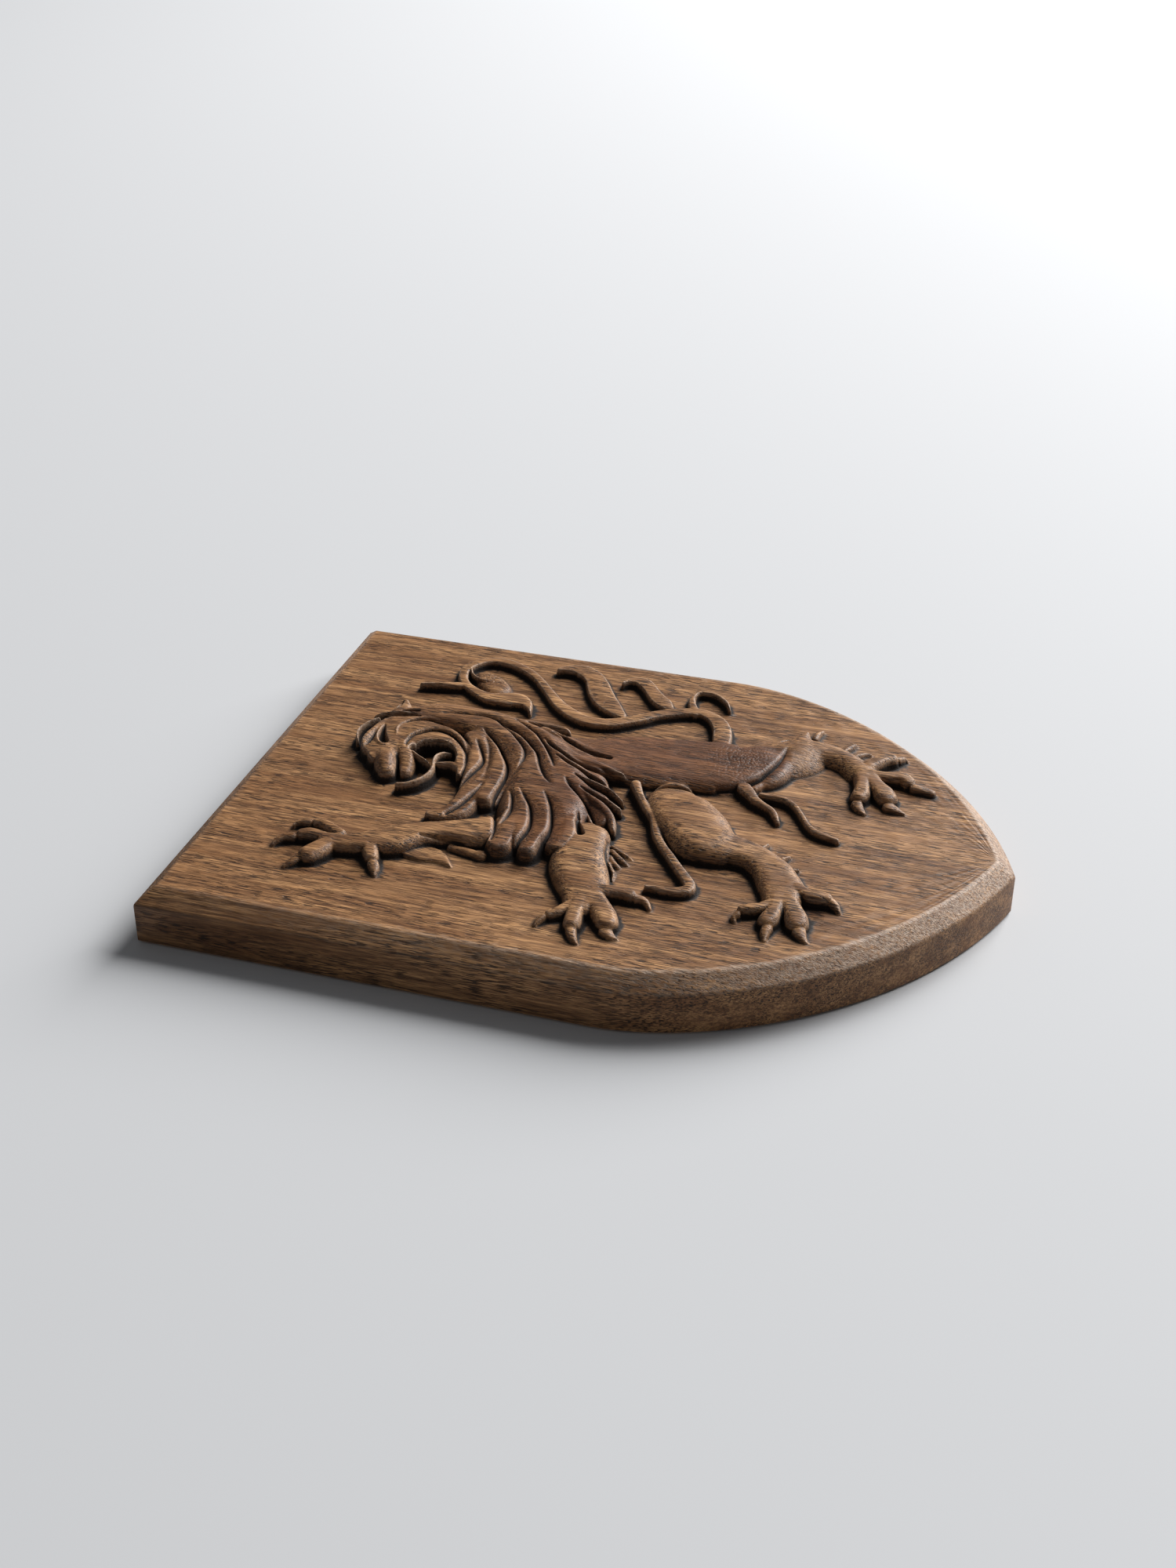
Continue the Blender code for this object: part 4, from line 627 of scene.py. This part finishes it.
# The tufts. Loose locks stand off the belly, the groin, the elbows and the hocks, low on the ground.
BELLY_TUFT = [
    (-51.8, 156.6, 0.8, 2.8), (-51.7, 161.5, 1.4, 3), (-51.4, 166, 1.7, 3.1), (-50, 169.4, 2.1, 3.2),
    (-47, 169.7, 2.1, 3.2), (-43.3, 167.4, 1.9, 3.2), (-38.9, 163.9, 1.8, 3.3), (-33.4, 159.8, 1.7, 3.4),
    (-28.2, 155.8, 1.6, 3.6), (-22, 152, 1.6, 3.8), (-13.5, 148.6, 1.5, 4), (-6, 143.6, 1.5, 4.2),
    (-1, 140.6, 1.5, 4.4), (6, 137, 2, 4.6),
]
GROIN_TUFTS = [
    [
        (15.5, 173, 2.6, 4), (12.6, 175.6, 2.2, 3.9), (9.4, 178.2, 1.7, 3.7), (6.6, 181.8, 1.2, 3.6),
        (4.7, 184.8, 1.2, 3.3), (2, 186.8, 1.2, 3), (-0.6, 188.2, 0.8, 2.4),
    ],
    [
        (13.2, 179.4, 1.1, 3.3), (13.5, 184.5, 1.1, 3.2), (12.6, 188, 1.1, 3.2), (9.8, 191.8, 1.1, 3.1),
        (3.6, 195.9, 1.1, 3), (-0.8, 198.5, 1.1, 3), (-3.8, 201.6, 1.2, 2.9), (-5.4, 205.6, 1.1, 2.8),
        (-6.2, 209.4, 0.9, 2.4),
    ],
]
ELBOW_TUFTS = [
    [
        (-50.5, 72, 4.4, 2.8), (-52, 79, 4.3, 1.7), (-52.4, 85, 3.6, 1.3), (-54.6, 89.4, 1.6, 1.1),
        (-56.6, 92, 0.4, 0.9),
    ],
    [(-46.8, 88.6, 1.2, 1.8), (-47.8, 94, 1.6, 2.2), (-48.6, 100, 2.2, 2.4)],
    [
        (-31.2, 139.4, 0.9, 1.8), (-32.5, 141.9, 0.9, 1.5), (-33.9, 144.9, 0.7, 1.1),
        (-35.2, 147.2, 0.3, 0.6),
    ],
    [(-33.8, 140, 1.2, 1.9), (-36.3, 142.9, 1.2, 1.6), (-38, 145.2, 1, 1.2), (-39, 146.8, 0.5, 0.8)],
    [(-37.3, 140.2, 1.2, 1.9), (-39.9, 142.4, 1.2, 1.5), (-41.2, 144.2, 0.9, 1.1)],
    [(-41.2, 140.6, 1.3, 1.8), (-43.4, 142.2, 1.2, 1.4), (-45.6, 143.8, 0.9, 1), (-49, 144.5, 0.4, 0.7)],
]
HOCK_TUFTS = [
    [(59, 189, 1.5, 1.9), (63, 189.6, 1.2, 1.7), (65.4, 190.9, 0.6, 1.3)],
    [(53.5, 200.5, 1.6, 1.9), (57.4, 202.6, 1.2, 1.7), (59.8, 203.8, 0.6, 1.2)],
    [(51, 205.2, 1.4, 1.8), (54, 208.2, 0.9, 1.4), (54.6, 210.2, 0.5, 0.9)],
    [(-18, 187, 1, 2.4), (-14.6, 188.1, 0.7, 1.6)],
    [(-22.4, 194.6, 0.9, 2.2), (-19.4, 196.4, 0.5, 1.3)],
    [(-27.4, 198, 1.1, 2), (-26, 200.6, 0.6, 1.1)],
]
# Fine cuts that set the tufts off from the legs.
LEG_CREVICES = [
    [
        (-31.2, 137.9, 0.5, 1), (-37.9, 139.1, 0.6, 1.4), (-42.2, 140.7, 0.6, 1.4),
        (-45.7, 142.9, 0.6, 1.2), (-49.4, 144.1, 0.4, 0.6),
    ],
    [
        (-47.6, 78.3, 0.5, 0.8), (-46.2, 83.7, 0.6, 1.2), (-45.5, 88.6, 0.6, 1.2), (-45.7, 92.1, 0.6, 1.2),
        (-46.4, 95.7, 0.6, 1), (-47.9, 99, 0.4, 0.6),
    ],
]
work.strip(BELLY_TUFT, wall=0.5, dome=0.15)
for path in GROIN_TUFTS:
    work.strip(path, wall=0.45)
for path in ELBOW_TUFTS + HOCK_TUFTS:
    work.strip(path, wall=0.5, dome=0.4)
for path in LEG_CREVICES:
    work.hollow(path, power=0.7, floor=-0.4)


# The hand-worked surface. The gouge leaves the wood gently wavy, and every edge is a little sanded.
def softened(field, spacings):
    """The field averaged with its neighbours, once for each spacing in grid steps."""
    for spacing in spacings:
        for axis in (0, 1):
            beside = np.roll(field, spacing, axis) + np.roll(field, -spacing, axis)
            field = field / 2 + beside / 4
    return field


GOUGE_DEPTH = 0.05  # mm
WAVES_FADE, RISE_FADE = 3, 0.5  # mm inside the rim
waves = softened(np.random.default_rng(5).standard_normal(across.shape), (1, 2, 4, 8))
waves *= GOUGE_DEPTH / waves.std()
to_rim = np.minimum(half_of_row[:, None] - np.abs(across), np.minimum(down - rim[0, 1], rim[-1, 1] - down))
waves *= np.clip(to_rim / WAVES_FADE, 0, 1)
rise = np.clip(softened(work.rise, (1,)) + waves / 2, None, most_rise - 0.05)
rise *= np.clip(to_rim / RISE_FADE, 0, 1)


# The board's edges. The bevel and the sides are planed, and every arris is rounded by sanding and wear.
# The section is (out from the rim, below the ground) in mm; the band is drawn down the sides ring by ring.
def rounded(corners, radius, steps=4):
    """The section with each inner corner turned into a short curve."""
    points = [Vector(corners[0]).to_3d()]
    for before, here, after in zip(corners, corners[1:], corners[2:]):
        here = Vector(here).to_3d()
        start = here + (Vector(before).to_3d() - here).normalized() * radius
        end = here + (Vector(after).to_3d() - here).normalized() * radius
        points += interpolate_bezier(start, here.lerp(start, 0.45), here.lerp(end, 0.45), end, steps)
    return points + [Vector(corners[-1]).to_3d()]


ARRIS_RADIUS = 0.8  # mm
BACK_BORDER = 1.5  # mm of the back that the band takes in
MOST_TRIANGLES = 190000
planed = [(0, 0), (EASED_IN, 0), (rim_in, BEVEL_DEEP), (rim_in, FACE_THICKNESS)]
section = rounded(planed + [(rim_in - BACK_BORDER, FACE_THICKNESS)], ARRIS_RADIUS)
bm = bmesh.new()
bmesh.ops.create_grid(bm, x_segments=columns, y_segments=rows, size=1)
mesh = bpy.data.meshes.new("carved_board")
bm.to_mesh(mesh)
bm.free()
places = np.empty(len(mesh.vertices) * 3, np.float32)
mesh.vertices.foreach_get("co", places)
places = places.reshape(-1, 3)
column = np.rint((places[:, 0] + 1) / 2 * columns).astype(int)
row = np.rint((1 - places[:, 1]) / 2 * rows).astype(int)
places[:, 0] = across[row, column] * MM
places[:, 1] = board_high.y - (FACE_THICKNESS + rise[row, column]) * MM
places[:, 2] = board_high.z - down[row, column] * MM
mesh.vertices.foreach_set("co", places.ravel())

bm = bmesh.new()
bm.from_mesh(mesh)
at_tip = board_high.z - (rim[-1, 1] - 0.01) * MM
bmesh.ops.remove_doubles(bm, verts=[vert for vert in bm.verts if vert.co.z < at_tip], dist=1e-6)
way_out = bm.verts.layers.float_vector.new("way_out")
ring = [edge for edge in bm.edges if edge.is_boundary]
for vert in {vert for edge in ring for vert in edge.verts}:
    below = (board_high.z - vert.co.z) / MM
    if below < rim[0, 1] + 0.01:
        at_corner = abs(abs(vert.co.x) / MM - rim[0, 0]) < 0.01
        vert[way_out] = (math.copysign(rim_in, vert.co.x) * at_corner, 0, rim_in)
    else:
        outer_across = np.interp(below, rim[:, 1], outer_of_rim[:, 0])
        outer_down = np.interp(below, rim[:, 1], outer_of_rim[:, 1])
        side = 0 if abs(vert.co.x) < 1e-7 else math.copysign(1, vert.co.x)
        vert[way_out] = (side * outer_across - vert.co.x / MM, 0, below - outer_down)
for (out_before, _, _), (out, deep, _) in zip(section, section[1:]):
    ring = bmesh.ops.extrude_edge_only(bm, edges=ring)["geom"]
    for vert in (part for part in ring if isinstance(part, bmesh.types.BMVert)):
        vert.co += vert[way_out] * (out - out_before) / rim_in * MM
        vert.co.y = board_high.y - (FACE_THICKNESS - deep) * MM
    ring = [part for part in ring if isinstance(part, bmesh.types.BMEdge)]
bmesh.ops.contextual_create(bm, geom=ring)
bmesh.ops.recalc_face_normals(bm, faces=bm.faces)
bm.verts.layers.float_vector.remove(way_out)
bm.to_mesh(mesh)
bm.free()

# The faces are listed by their vertices, so that thinning them out gives the same mesh every time.
faces = []
for face in mesh.polygons:
    corners = list(face.vertices)
    first = corners.index(min(corners))
    faces.append(corners[first:] + corners[:first])
points = [vert.co.copy() for vert in mesh.vertices]
mesh.clear_geometry()
mesh.from_pydata(points, [], sorted(faces))
bm = bmesh.new()
bm.from_mesh(mesh)
bmesh.ops.triangulate(bm, faces=[face for face in bm.faces if len(face.verts) > 4])
bm.to_mesh(mesh)
bm.free()
plaque = bpy.data.objects.new("carved_board", mesh)
bpy.context.scene.collection.objects.link(plaque)
thin = plaque.modifiers.new("Thin out", "DECIMATE")
thin.ratio = MOST_TRIANGLES / sum(len(p.vertices) - 2 for p in mesh.polygons)
bpy.context.view_layer.update()
mesh = bpy.data.meshes.new_from_object(plaque.evaluated_get(bpy.context.evaluated_depsgraph_get()))
plaque.modifiers.clear()
plaque.data = mesh
mesh.name = "carved_board"


# The finish follows the carving. The normals come from the carved heights, and four masks say where the stain
# is strongest, where dark wax and painted shade fill the cuts and hollows, where wear and a painted highlight
# make the crests and edges pale, and where a punch was used.
def at_places(field):
    """The field's value at each vertex of the face, between the grid's own points."""
    share_row = np.clip((below - rim[0, 1]) / (rim[-1, 1] - rim[0, 1]) * rows, 0, rows - 0.001)
    share_column = np.clip((aside / half + 1) / 2 * columns, 0, columns - 0.001)
    row, column = share_row.astype(int), share_column.astype(int)
    down_part, across_part = share_row - row, share_column - column
    upper = field[row, column] * (1 - across_part) + field[row, column + 1] * across_part
    lower = field[row + 1, column] * (1 - across_part) + field[row + 1, column + 1] * across_part
    return upper * (1 - down_part) + lower * down_part


def oval(middle, size, fullness):
    """1 in the middle of an oval patch of the face, falling to 0 past its edge."""
    return np.clip(fullness - np.hypot((across - middle[0]) / size[0], (down - middle[1]) / size[1]), 0, 1)


FACE_MARGIN, TIP_MARGIN = 0.3, 0.6  # mm inside the rim, where the band's own shading takes over
places = np.empty(len(mesh.vertices) * 3, np.float32)
mesh.vertices.foreach_get("co", places)
places = places.reshape(-1, 3).astype(float)
aside, below = places[:, 0] / MM, (board_high.z - places[:, 2]) / MM
half = np.maximum(np.interp(below, rim[:, 1], rim[:, 0]), 0.2)
on_face = (np.abs(aside) < half - FACE_MARGIN) & (below > rim[0, 1] + FACE_MARGIN)
on_face &= below < rim[-1, 1] - TIP_MARGIN
on_face &= places[:, 1] < board_high.y - FACE_THICKNESS / 2 * MM

mesh.calc_loop_triangles()
corners = np.empty(len(mesh.loop_triangles) * 3, np.int32)
mesh.loop_triangles.foreach_get("vertices", corners)
corners = corners.reshape(-1, 3)
first, second, third = (places[corners[:, corner]] for corner in range(3))
facing = np.cross(second - first, third - first)
normals = np.zeros(places.shape)
for corner in range(3):
    np.add.at(normals, corners[:, corner], facing)
waved = rise + waves / 2
slope_across = np.gradient(waved, axis=1) / np.maximum(np.gradient(across, axis=1), 1e-6)
slope_down = np.gradient(waved, axis=0) - slope_across * np.gradient(across, axis=0)
slope_down /= np.gradient(down, axis=0)
carved = np.column_stack([-at_places(slope_across), -np.ones(len(places)), at_places(slope_down)])
normals[on_face] = carved[on_face]
normals /= np.linalg.norm(normals, axis=1)[:, None]
mesh.normals_split_custom_set_from_vertices(normals)

# How far the wood beside a cut stands over it, in mm, when the wax and the painted shade are at their
# darkest.
BURIED_DEEP, PINCHED_DEEP, PIT_DEEP, PIT_FROM = 3.5, 0.8, 2, 3
EDGE_HIGHLIGHT_FULL_AT, TIP_FROM, TIP_OVER = 170, 165, 50  # mm down the shield
crest = rise
for spacing in (1, 1):
    for axis in (0, 1):
        crest = np.maximum(crest, np.maximum(np.roll(crest, spacing, axis), np.roll(crest, -spacing, axis)))
buried = np.clip((softened(crest, (1, 2)) - rise) / BURIED_DEEP, 0, 1)
pinched = np.clip((softened(rise, (1, 2, 4)) - rise) / PINCHED_DEEP, 0, 1)
pit = np.clip((softened(rise, (8, 8, 8)) - rise - PIT_FROM) / PIT_DEEP, 0, 1)
on_rump = oval((31, 168), (12, 11), 1.4) * np.clip(rise - 1.5, 0, 1)
on_mound = oval((66, 64), (5.5, 7), 1.5)
depth = (places[:, 1] - board_high.y) / MM + FACE_THICKNESS
# Pale arrises on the face and the bevel: partly wear, partly a painted highlight that grows stronger down
# towards the tip.
edge_wear_and_highlight = np.exp(-((depth - 0.2) ** 2) / 0.3) + 0.6 * np.exp(-((depth - BEVEL_DEEP) ** 2) / 0.2)
edge_wear_and_highlight *= np.clip(below / EDGE_HIGHLIGHT_FULL_AT, 0.15, 1)
# The bevel is painted paler towards the tip.
bevel_paler_to_tip = np.clip((below - TIP_FROM) / TIP_OVER, 0, 0.95) * (depth < BEVEL_DEEP)
for name, field in {
    "stained": softened(stained.astype(float), (4, 8)) * np.clip((down - 60) / 60, 0.4, 1),
    # Painted shade with some dark wax: near black in the cuts, at the feet of the walls and in deep pits,
    # where shade falls.
    "wax_and_painted_shade": np.maximum(0.4 * buried + 0.6 * pinched, pit),
    # Painted highlight, with some wear: crests that stand above their surroundings are made pale.
    "wear_and_painted_highlight": np.clip((rise - softened(rise, (1, 2))) / 0.4 - 0.2, 0, 1),
    "punched": on_rump + on_mound,
}.items():
    elsewhere = np.maximum(edge_wear_and_highlight, bevel_paler_to_tip) if name == "wear_and_painted_highlight" else 0
    layer = mesh.attributes.new(name, "FLOAT", "POINT")
    layer.data.foreach_set("value", np.where(on_face, at_places(field), elsewhere).astype(np.float32))


# The wood. Warm brown and open grained, with its streaks and pores running down the shield, stained darker
# on the mane and the trunk, painted near black with shade and wax in the cuts, painted pale on the crests,
# and oiled to a soft sheen.
wood = bpy.data.materials.new("carved wood")
wood.use_nodes = True
tree = wood.node_tree
nodes, links = tree.nodes, tree.links
shader = nodes["Principled BSDF"]
spot = nodes.new("ShaderNodeTexCoord")


def grain(wide, long, detail, roughness=0.55, wander=0.0):
    """Noise whose spots are wide mm across the grain and long mm along it."""
    scaled = nodes.new("ShaderNodeMapping")
    scaled.inputs["Scale"].default_value = (1 / (wide * MM), 1 / (wide * MM), 1 / (long * MM))
    noise = nodes.new("ShaderNodeTexNoise")
    noise.inputs["Scale"].default_value = 1
    noise.inputs["Detail"].default_value = detail
    noise.inputs["Roughness"].default_value = roughness
    noise.inputs["Distortion"].default_value = wander
    links.new(spot.outputs["Object"], scaled.inputs["Vector"])
    links.new(scaled.outputs["Vector"], noise.inputs["Vector"])
    return noise.outputs["Fac"]


def between(value, low, high, at_low=0.0, at_high=1.0):
    """The value spread from low..high to at_low..at_high, and held there."""
    spread = nodes.new("ShaderNodeMapRange")
    links.new(value, spread.inputs["Value"])
    for socket, number in zip(("From Min", "From Max", "To Min", "To Max"), (low, high, at_low, at_high)):
        spread.inputs[socket].default_value = number
    return spread.outputs["Result"]


def blended(amount, first, second, how="MIX"):
    """Two colours mixed; each is a socket or a plain colour."""
    mix = nodes.new("ShaderNodeMix")
    mix.data_type, mix.blend_type = "RGBA", how
    links.new(amount, mix.inputs["Factor"])
    for socket, colour in zip((mix.inputs[6], mix.inputs[7]), (first, second)):
        if isinstance(colour, bpy.types.NodeSocket):
            links.new(colour, socket)
        else:
            socket.default_value = (*colour, 1)
    return mix.outputs[2]


def combined(first, second, how="MULTIPLY"):
    """Two values multiplied, or added; each is a socket or a plain number."""
    both = nodes.new("ShaderNodeMath")
    both.operation = how
    for socket, value in zip(both.inputs, (first, second)):
        if isinstance(value, bpy.types.NodeSocket):
            links.new(value, socket)
        else:
            socket.default_value = value
    return both.outputs[0]


def mask(name):
    """One of the four masks that the finish left on the mesh."""
    reader = nodes.new("ShaderNodeAttribute")
    reader.attribute_name = name
    return reader.outputs["Fac"]


DARK_STREAK, PALE_STREAK = (0.252, 0.116, 0.044), (0.540, 0.290, 0.127)
THREAD, FIBRE, PORE = (0.085, 0.035, 0.014), (0.080, 0.032, 0.013), (0.020, 0.009, 0.005)
STAIN = (0.50, 0.39, 0.35)
# Pale colour for worn edges and for the painted highlights on crests and arrises.
BARE_WOOD_AND_HIGHLIGHT = (0.440, 0.320, 0.235)
# Near-black colour for the painted shade, with some wax, in the cuts and hollows.
WAX_AND_SHADE = (0.006, 0.003, 0.002)
GRAIN_DEPTH = 0.5  # mm
SATIN, WAXED = 0.48, 0.95  # roughness of the oiled wood and of the wax in the cuts

streaks = grain(6, 80, 3, wander=0.6)
threads = grain(0.9, 18, 3, 0.6)
fibres = grain(0.35, 6, 2)
crowding = between(grain(9, 45, 1), 0.3, 0.55)
pores = combined(between(grain(0.34, 4.8, 0.5), 0.55, 0.62), crowding)
colour = blended(between(streaks, 0.34, 0.66), DARK_STREAK, PALE_STREAK)
colour = blended(between(threads, 0.34, 0.58, 0.86, 0), colour, THREAD)
colour = blended(between(fibres, 0.38, 0.60, 0.55, 0), colour, FIBRE)
colour = blended(mask("stained"), colour, STAIN, "MULTIPLY")
colour = blended(combined(pores, 0.9), colour, PORE)
# Crests and arrises turn pale: partly wear, partly painted highlight.
rubbed_and_lit = combined(mask("wear_and_painted_highlight"), between(grain(0.8, 3.5, 2), 0.38, 0.62, 0.15, 0.8))
colour = blended(rubbed_and_lit, colour, BARE_WOOD_AND_HIGHLIGHT)
dents = combined(between(grain(0.8, 0.9, 0), 0.42, 0.68), mask("punched"))
colour = blended(combined(dents, 0.5), colour, PORE)
# Cuts, wall feet and pits go near black: painted shade, with some wax.
colour = blended(between(mask("wax_and_painted_shade"), 0.05, 0.45, 0, 0.98), colour, WAX_AND_SHADE)
links.new(colour, shader.inputs["Base Color"])
links.new(between(mask("wax_and_painted_shade"), 0, 1, SATIN, WAXED), shader.inputs["Roughness"])
relief = combined(combined(threads, 0.45), combined(fibres, 0.25), "ADD")
relief = combined(relief, combined(pores, -0.8), "ADD")
relief = combined(relief, combined(dents, -0.25), "ADD")
bump = nodes.new("ShaderNodeBump")
bump.inputs["Strength"].default_value = 0.9
bump.inputs["Distance"].default_value = GRAIN_DEPTH * MM
links.new(relief, bump.inputs["Height"])
links.new(bump.outputs["Normal"], shader.inputs["Normal"])
shader.inputs["Specular IOR Level"].default_value = 0.3
mesh.materials.clear()
mesh.materials.append(wood)
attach(plaque, "root")
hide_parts("carved_shield")


# The floor. A plain pale one for the plaque to lie on. Seen from behind it vanishes, and where it touches the
# plaque it lets the light of the room through to the back.
FLOOR_GAP = 0.4  # mm behind the back
NEAR_BACK = 1.0  # mm, how far a ray from the back may go to the floor and still pass it
bpy.ops.mesh.primitive_plane_add(size=6, location=(0, board_high.y + FLOOR_GAP * MM, 0))
floor = bpy.context.object
floor.rotation_euler.x = math.radians(90)
floor.name = "floor"
paint = bpy.data.materials.new("pale floor")
paint.use_nodes = True
tree = paint.node_tree
nodes, links = tree.nodes, tree.links
shader = nodes["Principled BSDF"]
shader.inputs["Base Color"].default_value = (0.52, 0.525, 0.535, 1)
shader.inputs["Roughness"].default_value = 0.8
shader.inputs["Specular IOR Level"].default_value = 0.2
behind = nodes.new("ShaderNodeNewGeometry")
path = nodes.new("ShaderNodeLightPath")
touching = nodes.new("ShaderNodeMath")
touching.operation = "LESS_THAN"
touching.inputs[1].default_value = NEAR_BACK * MM
links.new(path.outputs["Ray Length"], touching.inputs[0])
open_to_light = nodes.new("ShaderNodeMath")
open_to_light.operation = "MAXIMUM"
links.new(behind.outputs["Backfacing"], open_to_light.inputs[0])
links.new(touching.outputs[0], open_to_light.inputs[1])
clear = nodes.new("ShaderNodeBsdfTransparent")
either = nodes.new("ShaderNodeMixShader")
links.new(open_to_light.outputs[0], either.inputs["Fac"])
links.new(shader.outputs["BSDF"], either.inputs[1])
links.new(clear.outputs["BSDF"], either.inputs[2])
links.new(either.outputs["Shader"], nodes["Material Output"].inputs["Surface"])
floor.data.materials.append(paint)


# The light. Soft daylight from a window beyond the plaque's lower right side, in a plain room.
sun = bpy.data.lights.new("window", "AREA")
sun.shape = "RECTANGLE"
sun.size, sun.size_y = 3.4, 2.6
sun.energy = 400
window = bpy.data.objects.new("window", sun)
window.location = (2.9, -2.25, -1.75)
window.rotation_euler = (Vector((0, 0, 0)) - window.location).to_track_quat("-Z", "Y").to_euler()
bpy.context.scene.collection.objects.link(window)
world = bpy.data.worlds.new("room")
world.use_nodes = True
world.node_tree.nodes["Background"].inputs["Color"].default_value = (0.8, 0.82, 0.85, 1)
world.node_tree.nodes["Background"].inputs["Strength"].default_value = 0.18
bpy.context.scene.world = world
bpy.context.scene.view_settings.view_transform = "Standard"


# The camera. Held low over the plaque's left side while it lies on its back, so that up in the view is
# the plaque's right. AIM is the point it looks at, in metres.
AIM = Vector((0.0067, -0.0193, -0.0546))
ROLL = math.radians(-80.89)
lens = bpy.data.cameras.new("camera")
lens.lens = 46.56
lens.sensor_width = 36
camera = bpy.data.objects.new("camera", lens)
camera.location = (-0.5701, -0.3835, -0.2281)
facing_aim = AIM - camera.location
camera.rotation_mode = "QUATERNION"
camera.rotation_quaternion = facing_aim.to_track_quat("-Z", "Y") @ Quaternion((0, 0, 1), ROLL)
bpy.context.scene.collection.objects.link(camera)
bpy.context.scene.camera = camera

bpy.context.view_layer.update()
